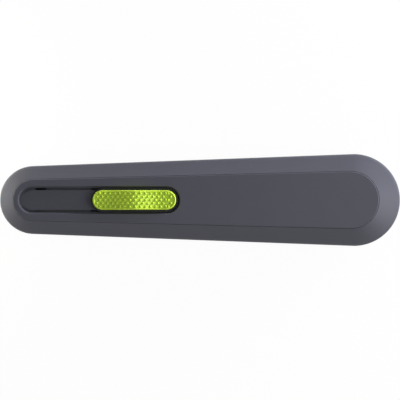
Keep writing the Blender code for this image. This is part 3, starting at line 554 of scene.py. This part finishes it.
def smooth(piece, angle=28.0):
    """Shade a piece smooth up to an angle, its broad faces kept level by weighted normals."""
    piece.data.shade_smooth()
    piece.data.set_sharp_from_angle(angle=math.radians(angle))
    weigh = piece.modifiers.new("level_faces", "WEIGHTED_NORMAL")
    weigh.mode = "FACE_AREA"
    weigh.keep_sharp = True


def dress(piece, material):
    """Give a piece one material."""
    piece.data.materials.clear()
    piece.data.materials.append(material)


def middle(node):
    """Centre of a CAD node's box, seen from above."""
    low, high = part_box(node)
    return ((low.x + high.x) / 2, (low.y + high.y) / 2)


def bore(node, gap):
    """Diameter of a hole that leaves a gap all round a round CAD node."""
    low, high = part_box(node)
    return high.x - low.x + 2 * gap


def handle_plan(sizes):
    """Places and heights of the handle, from the frame's boxes and the user's sizes."""
    low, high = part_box("top_shell")
    back_low, back_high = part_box("bottom_shell")
    plan = SimpleNamespace(front=low.x, rear=high.x, top=high.z, tail_radius=high.y)
    plan.nose_x = plan.front + sizes.nose_radius
    plan.tail_x = plan.rear - plan.tail_radius
    plan.seam = (back_low.z + high.z) / 2
    plan.half = high.z - plan.seam
    plan.edge = low.z - plan.seam
    plan.tongue_height = back_high.z - plan.seam
    plan.recess_front = plan.front + sizes.recess_setback
    plan.recess_rear = plan.recess_front + sizes.recess_length
    plan.recess_radius = sizes.recess_width / 2
    plan.foot_front = plan.recess_front + sizes.recess_draft
    plan.foot_rear = plan.recess_rear - sizes.recess_draft
    plan.foot_radius = plan.recess_radius - sizes.recess_draft
    plan.floor = plan.top - sizes.recess_depth
    plan.chamfer = (sizes.face_nose_inset + sizes.face_tail_inset) / 2
    plan.insert_hole = bore(INSERTS[0], PIN_GAP)
    plan.pin_hole = bore("spring_anchor_pin", PIN_GAP)
    plan.counterbore = bore(SCREWS[0], FIT_GAP)
    plan.boss = plan.counterbore + 2 * sizes.boss_wall
    plan.screws = [middle(screw) for screw in SCREWS]
    plan.anchor = middle("spring_anchor_pin")
    return plan


def handle_outline(sizes, plan, inset=0.0):
    """The handle's side wall, drawn in by an even distance."""
    return tapered_outline(plan.nose_x, sizes.nose_radius - inset, plan.tail_x, plan.tail_radius - inset)


def face_outline(sizes, plan, inset=0.0):
    """The flat face inside the chamfer, drawn in by an even distance."""
    nose_x = plan.front + sizes.face_nose_inset + sizes.face_nose_radius
    tail_x = plan.rear - sizes.face_tail_inset - sizes.face_tail_radius
    return tapered_outline(nose_x, sizes.face_nose_radius - inset, tail_x, sizes.face_tail_radius - inset)


def lift_from_seam(plan, facing):
    """A function that sets an outline at a distance from the seam, towards one half's face."""
    return lambda outline, distance: ring(outline, plan.seam + facing * distance)


def handle_half(name, sizes, plan, facing):
    """One half of the handle, still solid, from its seam edge to its flat face."""
    lift = lift_from_seam(plan, facing)
    outer = handle_outline(sizes, plan)
    flat = face_outline(sizes, plan)
    shoulder = plan.half - sizes.chamfer_height
    wall = lift(outer, shoulder)
    step_foot = lift(flat, plan.half - sizes.face_step)
    low_edge = lift(outer, shoulder - sizes.edge_round)
    chamfer_foot = mix_rings(wall, step_foot, sizes.edge_round / plan.chamfer)
    chamfer_head = mix_rings(step_foot, wall, sizes.face_crease / plan.chamfer)
    crease = lift(flat, plan.half - sizes.face_step - sizes.face_crease)
    step_head = lift(face_outline(sizes, plan, sizes.face_step / 2), plan.half)
    face_edge = lift(face_outline(sizes, plan, sizes.face_step / 2 + sizes.face_round), plan.half)
    seam_inner = lift(handle_outline(sizes, plan, sizes.seam_round), plan.edge)
    seam_outer = lift(outer, plan.edge + sizes.seam_round)
    rings = round_edge(seam_inner, lift(outer, plan.edge), seam_outer, SMALL_EDGE_STEPS)
    if facing < 0:
        tongue = handle_outline(sizes, plan, sizes.wall - sizes.tongue)
        rings = [lift(tongue, -plan.tongue_height), lift(tongue, plan.edge), *rings]
    rings += round_edge(low_edge, wall, chamfer_foot)
    rings += [chamfer_head, crease]
    rings += round_edge(mix_rings(step_head, step_foot, 0.5), step_head, face_edge, SMALL_EDGE_STEPS)
    return loft(name, rings)


def cavity_half(name, sizes, plan, facing):
    """The hollow of one half: its wall is even, also behind the chamfer."""
    lift = lift_from_seam(plan, facing)
    slope = math.atan2(sizes.chamfer_height, plan.chamfer)
    shoulder = plan.half - sizes.chamfer_height - sizes.wall * math.tan((math.pi / 2 - slope) / 2)
    inner_face = face_outline(sizes, plan, sizes.wall * math.tan(slope / 2))
    wall = handle_outline(sizes, plan, sizes.wall)
    rings = [lift(wall, shoulder), lift(inner_face, plan.half - sizes.wall)]
    if facing > 0:
        rebate = handle_outline(sizes, plan, sizes.wall - sizes.tongue - FIT_GAP)
        step = plan.tongue_height + FIT_GAP
        rings = [lift(rebate, -OVERSHOOT), lift(rebate, step), lift(wall, step), *rings]
    else:
        rings = [lift(wall, -plan.tongue_height - OVERSHOOT), *rings]
    return loft(name, rings)


def cross_ribs(name, sizes, plan, low, high):
    """Three stiffening ribs across the rear of the handle, between the screws and the anchor."""
    start = plan.screws[0][0] + plan.boss / 2
    step = (plan.anchor[0] - sizes.anchor_boss / 2 - start) / 4
    half = sizes.rib_width / 2
    across = (-plan.tail_radius, plan.tail_radius)
    places = [start + step * number for number in (1, 2, 3)]
    return [block(name, (place - half, place + half), across, (low, high)) for place in places]


def recess_tool(sizes, plan):
    """The slide's recess: drafted walls with a rounded rim."""
    rim = slot_outline(plan.recess_front, plan.recess_rear, plan.recess_radius)
    foot = ring(slot_outline(plan.foot_front, plan.foot_rear, plan.foot_radius), plan.floor)
    rings = [foot]
    for angle in quarter_turn(EDGE_STEPS):
        grow = sizes.recess_rim * (1 - math.cos(angle))
        depth = sizes.recess_rim * (1 - math.sin(angle))
        wall = mix_rings(foot, ring(rim, plan.top), 1 - depth / sizes.recess_depth)
        flare = slot_outline(plan.recess_front - grow, plan.recess_rear + grow, plan.recess_radius + grow)
        shift = [Vector((x - a, y - b, 0.0)) for (x, y), (a, b) in zip(flare, rim)]
        rings.append([point + move for point, move in zip(wall, shift)])
    rings.append([point + Vector((0.0, 0.0, OVERSHOOT)) for point in rings[-1]])
    return loft("recess_tool", rings)


def groove_tool(sizes, plan):
    """The groove that joins both slits round the ends of the recess floor, shallower towards the middle."""
    inner = sizes.floor_width / 2
    outer = inner + sizes.slit_width
    shift = plan.foot_radius - outer
    low, high = plan.floor - sizes.floor_groove, plan.floor + FIT_GAP
    slot = slot_outline(plan.foot_front + shift, plan.foot_rear - shift, outer)
    groove = prism("groove_tool", slot, low, high)
    shift = plan.foot_radius - inner
    island = slot_outline(plan.foot_front + shift, plan.foot_rear - shift, inner)
    tent = [(-outer, low), (outer, low), (0.0, high + FIT_GAP)]
    ends = [[Vector((x, y, z)) for y, z in tent] for x in (plan.recess_front, plan.recess_rear)]
    return subtract(groove, [prism("island", island, low - OVERSHOOT, high + OVERSHOOT), loft("tent", ends)])


def mouth_tool(sizes, plan):
    """The slot in the nose that the blade leaves by."""
    low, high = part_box("blade")
    gap = sizes.mouth_gap
    heights = (low.z - gap, high.z + gap)
    return block("mouth_tool", (plan.front - OVERSHOOT, plan.nose_x), (low.y - gap, high.y + gap), heights)


def top_shell(sizes, plan):
    """Upper half: recess and slits outside, track and insert bosses inside."""
    shell = handle_half("handle_top", sizes, plan, 1)
    cavity = cavity_half("top_cavity", sizes, plan, 1)
    above = plan.top + OVERSHOOT
    grow = sizes.track_wall
    track = slot_outline(plan.recess_front - grow, plan.recess_rear + grow, plan.recess_radius + grow)
    under = plan.floor - sizes.floor_thickness
    edge = plan.seam + plan.edge
    inner = plan.top - sizes.wall
    kept = [prism("track", track, under, above)]
    kept += [prism("boss", circle(plan.boss, place), edge, above) for place in plan.screws]
    kept.append(prism("anchor", circle(sizes.anchor_boss, plan.anchor), inner - sizes.anchor_depth, above))
    kept += cross_ribs("rib", sizes, plan, inner - sizes.rib_height, above)
    subtract(cavity, kept)
    slit_x = (plan.front + sizes.slit_setback, plan.foot_rear - plan.foot_radius)
    slit_z = (under - OVERSHOOT, plan.floor + FIT_GAP)
    slit = (sizes.floor_width / 2, sizes.floor_width / 2 + sizes.slit_width)
    tools = [cavity, recess_tool(sizes, plan), groove_tool(sizes, plan), mouth_tool(sizes, plan)]
    for slit_y in (slit, (-slit[1], -slit[0])):
        tools.append(block("slit", slit_x, slit_y, slit_z))
    insert_z = (edge - OVERSHOOT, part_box(INSERTS[0])[1].z + OVERSHOOT)
    for place in plan.screws:
        tools.append(prism("insert_hole", circle(plan.insert_hole, place), *insert_z))
    tools.append(prism("pin_hole", circle(plan.pin_hole, plan.anchor), plan.seam, inner))
    return subtract(shell, tools)


def back_shell(sizes, plan):
    """Back half: tongue round its edge, rails, bosses and counterbored screw holes."""
    shell = handle_half("handle_back", sizes, plan, -1)
    cavity = cavity_half("back_cavity", sizes, plan, -1)
    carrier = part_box("blade_carrier")[1].y
    blade_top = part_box("blade")[0].z - FIT_GAP
    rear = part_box("slider_base")[1].x
    half = sizes.rib_width / 2
    below = -OVERSHOOT
    kept = []
    rails = (
        (BLADE_RAIL_LEAD, sizes.blade_rails / 2, blade_top),
        (CARRIER_RAIL_LEAD, carrier - CARRIER_RAIL_INSET, sizes.carrier_rail_top),
    )
    for side in (-1, 1):
        for lead, spread, top in rails:
            rail_x = (plan.nose_x + lead, rear)
            rail_y = (side * spread - half, side * spread + half)
            kept.append(block("rail", rail_x, rail_y, (below, top)))
    kept += [prism("boss", circle(plan.boss, place), below, plan.seam - plan.edge) for place in plan.screws]
    anchor_top = sizes.wall + sizes.anchor_depth
    kept.append(prism("anchor", circle(sizes.anchor_boss, plan.anchor), below, anchor_top))
    kept += cross_ribs("rib", sizes, plan, below, sizes.wall + sizes.rib_height)
    subtract(cavity, kept)
    tools = [cavity, mouth_tool(sizes, plan)]
    screw = bpy.context.scene.knife_fasteners
    head_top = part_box(SCREWS[0])[0].z + screw.head_height
    hole = screw.shank + 2 * FIT_GAP
    for place in plan.screws:
        tools.append(prism("counterbore", circle(plan.counterbore, place), below, head_top + FIT_GAP))
        tools.append(prism("screw_hole", circle(hole, place), below, plan.seam + OVERSHOOT))
    tools.append(prism("pin_hole", circle(plan.pin_hole, plan.anchor), sizes.wall, plan.seam))
    return subtract(shell, tools)


class KNIFE_OT_handle_shells(bpy.types.Operator):
    """Build both moulded handle shells"""

    bl_idname = "knife.handle_shells"
    bl_label = "Handle Shells"

    def execute(self, context):
        sizes = context.scene.knife_handle
        plan = handle_plan(sizes)
        material = finish(context.scene, "moulded_glass_filled_nylon")
        for piece, node in ((top_shell(sizes, plan), "top_shell"), (back_shell(sizes, plan), "bottom_shell")):
            dress(piece, material)
            smooth(piece)
            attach(piece, "handle")
            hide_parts(node)
        return {"FINISHED"}


def cap_plan(sizes):
    """Places and heights of the thumb cap, from its CAD box."""
    low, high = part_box("thumb_cap")
    plan = SimpleNamespace(front=low.x, rear=high.x, radius=high.y, under=low.z)
    plan.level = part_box("top_shell")[1].z + sizes.rise
    plan.ridge = high.z - plan.level
    plan.middle = (low.x + high.x) / 2
    return plan


def cap_side(plan, inset, stations=120, arc_steps=20):
    """One long side of the cap from its rear tip to its front tip, drawn in by a distance."""
    radius = plan.radius - inset
    rear_x = plan.rear - plan.radius
    front_x = plan.front + plan.radius
    side = []
    for angle in quarter_turn(arc_steps)[:-1]:
        side.append((rear_x + radius * math.cos(angle), radius * math.sin(angle)))
    for step in range(stations + 1):
        side.append((rear_x + (front_x - rear_x) * step / stations, radius))
    for step in range(1, arc_steps):
        angle = math.pi / 2 * (1 + step / arc_steps)
        side.append((front_x + radius * math.cos(angle), radius * math.sin(angle)))
    side.append((front_x - radius, 0.0))
    return side


def cap_body(sizes, plan):
    """The cap without its pips: hollow slopes up to a ridge, inside a raised, rounded rim."""
    levels = [(0.0, None)]
    for angle in quarter_turn(EDGE_STEPS):
        levels.append((sizes.edge_round * (1 - math.cos(angle)), sizes.edge_round * (1 - math.sin(angle))))
    inner = sizes.rim_width - sizes.edge_round
    for step in range(1, EDGE_STEPS + 1):
        share = step / EDGE_STEPS
        ease = share * share * (3 - 2 * share)
        levels.append((sizes.edge_round + inner * share, sizes.rim_height * ease))
    spread = sizes.slope_reach**2 - sizes.slope_run**2
    shape = bmesh.new()
    loops = []
    for inset, drop in levels:
        upper = cap_side(plan, inset)
        loop = []
        for x, y in upper + [(x, -y) for x, y in reversed(upper[1:-1])]:
            away = math.hypot(x - plan.middle, sizes.ridge_round) - sizes.ridge_round
            wide = max(sizes.slope_reach - away, 0.0)
            narrow = max(sizes.slope_run - away, 0.0)
            height = plan.level + plan.ridge * (wide**2 - narrow**2) / spread
            loop.append(shape.verts.new((x, y, plan.under if drop is None else height - drop)))
        loops.append(loop)
    skin(shape, loops)
    shape.faces.new(loops[0])
    top = loops[-1]
    last = len(top) // 2
    shape.faces.new((top[0], top[1], top[-1]))
    for index in range(1, last - 1):
        shape.faces.new((top[index], top[index + 1], top[-index - 1], top[-index]))
    shape.faces.new((top[last - 1], top[last], top[last + 1]))
    return make_solid("thumb_cap_pips", shape)


def start_tree(name, values):
    """A geometry node tree with an input for each named value, and what its Group Input gives."""
    kinds = {int: "Int", float: "Float", bpy.types.Material: "Material", bpy.types.Object: "Object"}
    tree = bpy.data.node_groups.new(name, "GeometryNodeTree")
    face = tree.interface
    face.new_socket("Geometry", in_out="INPUT", socket_type="NodeSocketGeometry")
    for label, value in values.items():
        face.new_socket(label, in_out="INPUT", socket_type="NodeSocket" + kinds[type(value)])
    face.new_socket("Geometry", in_out="OUTPUT", socket_type="NodeSocketGeometry")
    return tree, add_node(tree, "NodeGroupInput").outputs


def end_tree(tree, geometry, material):
    """End a tree by making its instances real and giving all of it one material."""
    real = add_node(tree, "GeometryNodeRealizeInstances", {0: geometry})
    coat = add_node(tree, "GeometryNodeSetMaterial", {"Geometry": real.outputs[0], "Material": material})
    add_node(tree, "NodeGroupOutput", {0: coat.outputs[0]})
    return tree


def pip_tree(values):
    """Node tree that stands staggered rows of pips on the cap's slopes and joins them to it."""
    tree, given = start_tree("grip_pips", values)

    def work(operation, first, second=0.0):
        return add_node(tree, "ShaderNodeMath", {0: first, 1: second}, operation=operation).outputs[0]

    count = work("MULTIPLY", given["Rows"], given["Columns"])
    index = add_node(tree, "GeometryNodeInputIndex").outputs[0]
    column = work("FLOOR", work("DIVIDE", index, given["Rows"]))
    row = work("MODULO", index, given["Rows"])
    # The stagger changes over in the last two columns, so that the field ends as it begins.
    late = work("GREATER_THAN", column, work("SUBTRACT", given["Columns"], 2.5))
    stagger = work("MODULO", work("ADD", work("ADD", row, column), late), 2.0)
    along = work("ADD", given["Front"], work("MULTIPLY", column, given["Step"]))
    centred = work("SUBTRACT", row, work("DIVIDE", work("SUBTRACT", given["Rows"], 1.0), 2.0))
    across = work("MULTIPLY", centred, given["Row Step"])
    offset = work("SUBTRACT", along, given["Middle"])
    squares = work("ADD", work("MULTIPLY", offset, offset), work("MULTIPLY", given["Crest"], given["Crest"]))
    apart = work("SQRT", squares)
    away = work("SUBTRACT", apart, given["Crest"])
    wide = work("MAXIMUM", work("SUBTRACT", given["Reach"], away), 0.0)
    narrow = work("MAXIMUM", work("SUBTRACT", given["Run"], away), 0.0)
    spread = work("SUBTRACT", work("POWER", given["Reach"], 2.0), work("POWER", given["Run"], 2.0))
    share = work("DIVIDE", given["Ridge"], spread)
    swell = work("SUBTRACT", work("POWER", wide, 2.0), work("POWER", narrow, 2.0))
    height = work("ADD", given["Level"], work("MULTIPLY", share, swell))
    fall = work("MULTIPLY", work("SUBTRACT", wide, narrow), work("MULTIPLY", share, 2.0))
    slope = work("MULTIPLY", fall, work("DIVIDE", offset, apart))
    spot = add_node(tree, "ShaderNodeCombineXYZ", {"X": along, "Y": across, "Z": height})
    lean = add_node(tree, "ShaderNodeCombineXYZ", {"Y": work("ARCTANGENT", slope)})
    flat = work("DIVIDE", given["Height"], given["Radius"])
    squash = add_node(tree, "ShaderNodeCombineXYZ", {"X": 1.0, "Y": 1.0, "Z": flat})
    turn = add_node(tree, "FunctionNodeEulerToRotation", {0: lean.outputs[0]})
    points = add_node(tree, "GeometryNodePoints", {"Count": count, "Position": spot.outputs[0]})
    dome = add_node(tree, "GeometryNodeMeshUVSphere", {"Segments": 14, "Rings": 8, "Radius": given["Radius"]})
    placed = add_node(
        tree,
        "GeometryNodeInstanceOnPoints",
        {
            "Points": points.outputs[0],
            "Selection": stagger,
            "Instance": dome.outputs["Mesh"],
            "Rotation": turn.outputs[0],
            "Scale": squash.outputs[0],
        },
    )
    pips = add_node(tree, "GeometryNodeRealizeInstances", {0: placed.outputs[0]})
    fused = add_node(tree, "GeometryNodeMeshBoolean", operation="UNION", solver="EXACT")
    tree.links.new(pips.outputs[0], fused.inputs["Mesh 2"])
    tree.links.new(given["Geometry"], fused.inputs["Mesh 2"])
    return end_tree(tree, fused.outputs["Mesh"], given["Material"])


def run_tree(piece, tree, values):
    """Run a node tree on a piece with its named inputs set, and keep the result as a plain mesh."""
    step = piece.modifiers.new(tree.name, "NODES")
    step.node_group = tree
    for item in tree.interface.items_tree:
        if item.in_out == "INPUT" and item.name in values:
            step[item.identifier] = values[item.name]
    return settle(piece)


class KNIFE_OT_thumb_cap(bpy.types.Operator):
    """Build the thumb cap with its staggered grip pips"""

    bl_idname = "knife.thumb_cap"
    bl_label = "Thumb Cap"

    def execute(self, context):
        sizes = context.scene.knife_thumb
        plan = cap_plan(sizes)
        material = finish(context.scene, "moulded_lime_abs")
        cap = cap_body(sizes, plan)
        sockets = []
        for side in (-1, 1):
            spot = (plan.middle + side * sizes.peg_spacing / 2, 0.0)
            depth = (plan.under - OVERSHOOT, plan.under + sizes.peg_depth)
            sockets.append(prism("peg_hole", circle(sizes.peg_hole, spot), *depth))
        subtract(cap, sockets)
        values = {
            "Rows": sizes.pip_rows,
            "Columns": sizes.pip_columns,
            "Front": plan.front + sizes.pip_margin,
            "Step": sizes.pip_step,
            "Row Step": sizes.pip_row_step,
            "Level": plan.level - sizes.rim_height,
            "Ridge": plan.ridge,
            "Middle": plan.middle,
            "Run": sizes.slope_run,
            "Reach": sizes.slope_reach,
            "Crest": sizes.ridge_round,
            "Radius": sizes.pip_diameter / 2,
            "Height": sizes.pip_height,
            "Material": material,
        }
        run_tree(cap, pip_tree(values), values)
        smooth(cap, angle=40.0)
        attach(cap, "slide")
        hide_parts("thumb_cap")
        return {"FINISHED"}


def screw_shape(sizes):
    """One shell screw about the Z axis, head down: rounded pan head, cross recess and thread."""
    low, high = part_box(SCREWS[0])
    head = high.x - low.x
    head_top = low.z + sizes.head_height
    steps = []
    for angle in quarter_turn(HEAD_STEPS):
        inset = sizes.head_round * (1 - math.sin(angle))
        steps.append((head - 2 * inset, low.z + sizes.head_round * (1 - math.cos(angle))))
    root = sizes.shank - 2 * sizes.thread_depth
    steps += [(head, head_top), (root, head_top)]
    turns = int((high.z - head_top - sizes.shank / 2) / sizes.thread_pitch)
    for turn in range(turns):
        start = head_top + (turn + 0.5) * sizes.thread_pitch
        steps += [(root, start), (sizes.shank, start + sizes.thread_pitch * THREAD_RISE)]
        steps.append((sizes.shank, start + sizes.thread_pitch * THREAD_CREST))
        steps.append((root, start + sizes.thread_pitch * THREAD_FALL))
    steps += [(root, high.z - sizes.shank / 4), (root / 2, high.z)]
    screw = loft("shell_screw", [ring(circle(diameter), height) for diameter, height in steps])
    tools = []
    for along, across in ((sizes.cross_span, sizes.cross_width), (sizes.cross_width, sizes.cross_span)):
        arm = [(-along, -across), (along, -across), (along, across), (-along, across)]
        wide = [(x / 2, y / 2) for x, y in arm]
        narrow = [(x / 4, y / 4) for x, y in arm]
        bottom = ring(narrow, low.z + sizes.cross_depth)
        tools.append(loft("cross_arm", [ring(wide, low.z - PIN_GAP), ring(wide, low.z), bottom]))
    return subtract(screw, tools)


def repeat_tree(values):
    """Node tree that puts a copy of one piece on every point."""
    tree, given = start_tree("screws_on_points", values)
    shape = add_node(tree, "GeometryNodeObjectInfo", {"Object": given["Piece"]}).outputs["Geometry"]
    copies = {"Points": given["Geometry"], "Instance": shape}
    placed = add_node(tree, "GeometryNodeInstanceOnPoints", copies)
    return end_tree(tree, placed.outputs[0], given["Material"])


class KNIFE_OT_screws(bpy.types.Operator):
    """Build the three shell screws in the back of the handle"""

    bl_idname = "knife.screws"
    bl_label = "Shell Screws"

    def execute(self, context):
        screw = screw_shape(context.scene.knife_fasteners)
        mesh = bpy.data.meshes.new("shell_screws")
        mesh.from_pydata([(*middle(node), 0.0) for node in SCREWS], [], [])
        screws = add_object("shell_screws", mesh)
        values = {"Piece": screw, "Material": finish(context.scene, "zinc_plated_steel")}
        run_tree(screws, repeat_tree(values), values)
        bpy.data.objects.remove(screw)
        smooth(screws)
        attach(screws, "handle")
        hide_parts(*SCREWS)
        return {"FINISHED"}


def spring_end(sizes, pin_x, facing, height):
    """One end of the spring, from the tip of its hook to where the coils begin."""
    points = []
    for step in range(HOOK_STEPS + 1):
        angle = math.pi * step / HOOK_STEPS
        along = pin_x + facing * sizes.hook_radius * math.sin(angle)
        points.append((along, -sizes.hook_radius * math.cos(angle), height))
    coil_x = pin_x - facing * sizes.coil_lead
    swing = sizes.coil_bend / sizes.coil_radius
    for step in range(BEND_STEPS):
        share = step / BEND_STEPS
        along = coil_x + facing * sizes.coil_bend * (1 - share) ** 2
        turn = -facing * swing * share**2
        rise = sizes.coil_radius * math.sin(turn)
        points.append((along, sizes.coil_radius * math.cos(turn), height + rise))
    return points, coil_x, -facing * swing


def spring_path(sizes, post_x, anchor_x, height):
    """The wire's middle line: a hook, evenly spaced coils and a second hook."""
    front, front_x, front_turn = spring_end(sizes, post_x, -1, height)
    rear, rear_x, rear_turn = spring_end(sizes, anchor_x, 1, height)
    turns = math.floor((rear_x - front_x) / sizes.coil_pitch)
    full = 2 * math.pi * turns + rear_turn - front_turn
    count = turns * COIL_STEPS
    coils = []
    for step in range(count + 1):
        turn = front_turn + full * step / count
        along = front_x + (rear_x - front_x) * step / count
        across = sizes.coil_radius * math.cos(turn)
        coils.append((along, across, height + sizes.coil_radius * math.sin(turn)))
    return front + coils + rear[::-1]


class KNIFE_OT_return_spring(bpy.types.Operator):
    """Build the return spring in one shape, though the slide stretches it as it moves"""

    bl_idname = "knife.return_spring"
    bl_label = "Return Spring"

    def execute(self, context):
        sizes = context.scene.knife_fasteners
        low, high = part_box("return_spring")
        reach = sizes.hook_radius + sizes.wire / 2
        post_x = low.x + reach
        anchor_x = high.x - reach
        height = (low.z + high.z) / 2
        points = spring_path(sizes, post_x, anchor_x, height)
        path = bpy.data.curves.new("spring_wire", "CURVE")
        path.dimensions = "3D"
        path.bevel_depth = sizes.wire / 2
        path.bevel_resolution = 3
        path.use_fill_caps = True
        wire = path.splines.new("POLY")
        wire.points.add(len(points) - 1)
        for knot, point in zip(wire.points, points):
            knot.co = (*point, 1.0)
        guide = add_object("spring_wire", path)
        mesh = evaluated_mesh(guide)
        bpy.data.objects.remove(guide)
        mesh.name = "coil_spring"
        spring = add_object("coil_spring", mesh)
        dress(spring, finish(context.scene, "drawn_spring_steel"))
        mesh.shade_smooth()
        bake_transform(spring)
        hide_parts("return_spring")
        return {"FINISHED"}


class KNIFE_OT_inner_pieces(bpy.types.Operator):
    """Finish the CAD pieces that stay as they are"""

    bl_idname = "knife.inner_pieces"
    bl_label = "Inner Pieces"

    def execute(self, context):
        finishes = {
            "moulded_black_acetal": ("slider_base", "blade_carrier"),
            "black_oxide_blade_steel": ("blade",),
            "drawn_spring_steel": ("blade_keeper",),
            "zinc_plated_steel": (*RIVETS, "spring_anchor_pin"),
            "turned_brass": INSERTS,
        }
        for name, nodes in finishes.items():
            for node in nodes:
                dress(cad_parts[node], finish(context.scene, name))
        return {"FINISHED"}


def seen_rays(tree):
    """1 on rays that show the background: from the camera, or by way of gloss or glass."""
    rays = add_node(tree, "ShaderNodeLightPath").outputs
    seen = rays["Is Camera Ray"]
    for kind in ("Is Glossy Ray", "Is Transmission Ray"):
        seen = add_node(tree, "ShaderNodeMath", {0: seen, 1: rays[kind]}, operation="MAXIMUM").outputs[0]
    return seen


def make_floor(stage, tone):
    """Pale floor that looks white and keeps the knife's soft shadow."""
    shape = bmesh.new()
    bmesh.ops.create_grid(shape, x_segments=1, y_segments=1, size=FLOOR_SIZE)
    bmesh.ops.translate(shape, verts=shape.verts, vec=(0.0, 0.0, -FIT_GAP))
    floor = make_solid("studio_floor", shape)
    material = bpy.data.materials.new("painted_studio_floor")
    material.use_nodes = True
    tree = material.node_tree
    tree.nodes.clear()
    paint = add_node(tree, "ShaderNodeBsdfDiffuse", {"Color": tone})
    white = add_node(tree, "ShaderNodeEmission", {"Color": WHITE, "Strength": 1.0})
    factors = {0: seen_rays(tree), 1: 1.0 - stage.shadow}
    share = add_node(tree, "ShaderNodeMath", factors, operation="MULTIPLY")
    layers = {0: share.outputs[0], 1: paint.outputs[0], 2: white.outputs[0]}
    blend = add_node(tree, "ShaderNodeMixShader", layers)
    add_node(tree, "ShaderNodeOutputMaterial", {"Surface": blend.outputs[0]})
    dress(floor, material)


def make_world(stage):
    """Even fill light, white wherever it is seen."""
    world = bpy.data.worlds.new("studio_fill")
    bpy.context.scene.world = world
    world.use_nodes = True
    tree = world.node_tree
    limits = {"Value": seen_rays(tree), "To Min": stage.fill, "To Max": 1.0}
    level = add_node(tree, "ShaderNodeMapRange", limits)
    background = tree.nodes["Background"].inputs
    background["Color"].default_value = WHITE
    tree.links.new(level.outputs["Result"], background["Strength"])


def make_lamp(name, place, target, size, watts, tone, mirrored):
    """A soft box that faces a point, and whose own image shows in a sheen only if mirrored."""
    lamp = bpy.data.lights.new(name, "AREA")
    lamp.shape = "RECTANGLE"
    lamp.size, lamp.size_y = size
    lamp.energy = watts
    lamp.color = tone[:3]
    holder = add_object(name, lamp)
    holder.location = place
    holder.rotation_euler = (Vector(target) - Vector(place)).to_track_quat("-Z", "Y").to_euler()
    holder.visible_camera = False
    holder.visible_glossy = mirrored


class KNIFE_OT_stage(bpy.types.Operator):
    """Set up the floor, the soft light and the camera above the knife"""

    bl_idname = "knife.stage"
    bl_label = "Studio Stage"

    def execute(self, context):
        stage = context.scene.knife_stage
        make_floor(stage, tuple(context.scene.knife_finish.floor))
        make_world(stage)
        low, high = CAD_BOX
        centre = (low + high) / 2
        for name, (place, size, tone, mirrored) in SOFTBOXES.items():
            watts = getattr(stage, f"{name}_lamp")
            make_lamp(f"{name}_softbox", place, centre, size, watts, getattr(stage, tone), mirrored)
        nose = (low.x, 0.0, high.z / 2)
        place = (low.x - 0.04, 0.012, 0.01)
        make_lamp("nose_softbox", place, nose, (0.12, 0.012), stage.nose_lamp, stage.warm, False)
        lens = bpy.data.cameras.new("camera")
        lens.lens = stage.lens
        lens.clip_end = VIEW_DEPTH
        camera = add_object("camera", lens)
        sizes = context.scene.knife_handle
        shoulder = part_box("top_shell")[1].z - sizes.chamfer_height
        distance = (high.x - low.x) * stage.lens / lens.sensor_width
        camera.location = (centre.x, centre.y, shoulder + distance)
        context.scene.camera = camera
        context.scene.view_settings.view_transform = "Standard"
        return {"FINISHED"}


class KNIFE_PT_pieces(bpy.types.Panel):
    """Sidebar list of the knife's pieces"""

    bl_idname = "KNIFE_PT_pieces"
    bl_label = "Utility Knife"
    bl_space_type = "VIEW_3D"
    bl_region_type = "UI"
    bl_category = "Knife"

    def draw(self, context):
        for operator in OPERATORS:
            self.layout.operator(operator.bl_idname)
        for name, group in GROUPS.items():
            box = self.layout.box()
            for field in group.__annotations__:
                box.prop(getattr(context.scene, name), field)


GROUPS = {
    "knife_handle": KNIFE_PG_handle,
    "knife_thumb": KNIFE_PG_thumb,
    "knife_fasteners": KNIFE_PG_fasteners,
    "knife_finish": KNIFE_PG_finish,
    "knife_stage": KNIFE_PG_stage,
}
OPERATORS = (
    KNIFE_OT_handle_shells,
    KNIFE_OT_thumb_cap,
    KNIFE_OT_screws,
    KNIFE_OT_return_spring,
    KNIFE_OT_inner_pieces,
    KNIFE_OT_stage,
)
CLASSES = (*GROUPS.values(), *OPERATORS, KNIFE_PT_pieces)


def register():
    for kind in CLASSES:
        bpy.utils.register_class(kind)
    for name, group in GROUPS.items():
        setattr(bpy.types.Scene, name, bpy.props.PointerProperty(type=group))


def unregister():
    for name in GROUPS:
        delattr(bpy.types.Scene, name)
    for kind in reversed(CLASSES):
        bpy.utils.unregister_class(kind)


def main():
    register()
    bpy.ops.knife.handle_shells()
    bpy.ops.knife.thumb_cap()
    bpy.ops.knife.screws()
    bpy.ops.knife.return_spring()
    bpy.ops.knife.inner_pieces()
    bpy.ops.knife.stage()


if __name__ == "__main__":
    main()
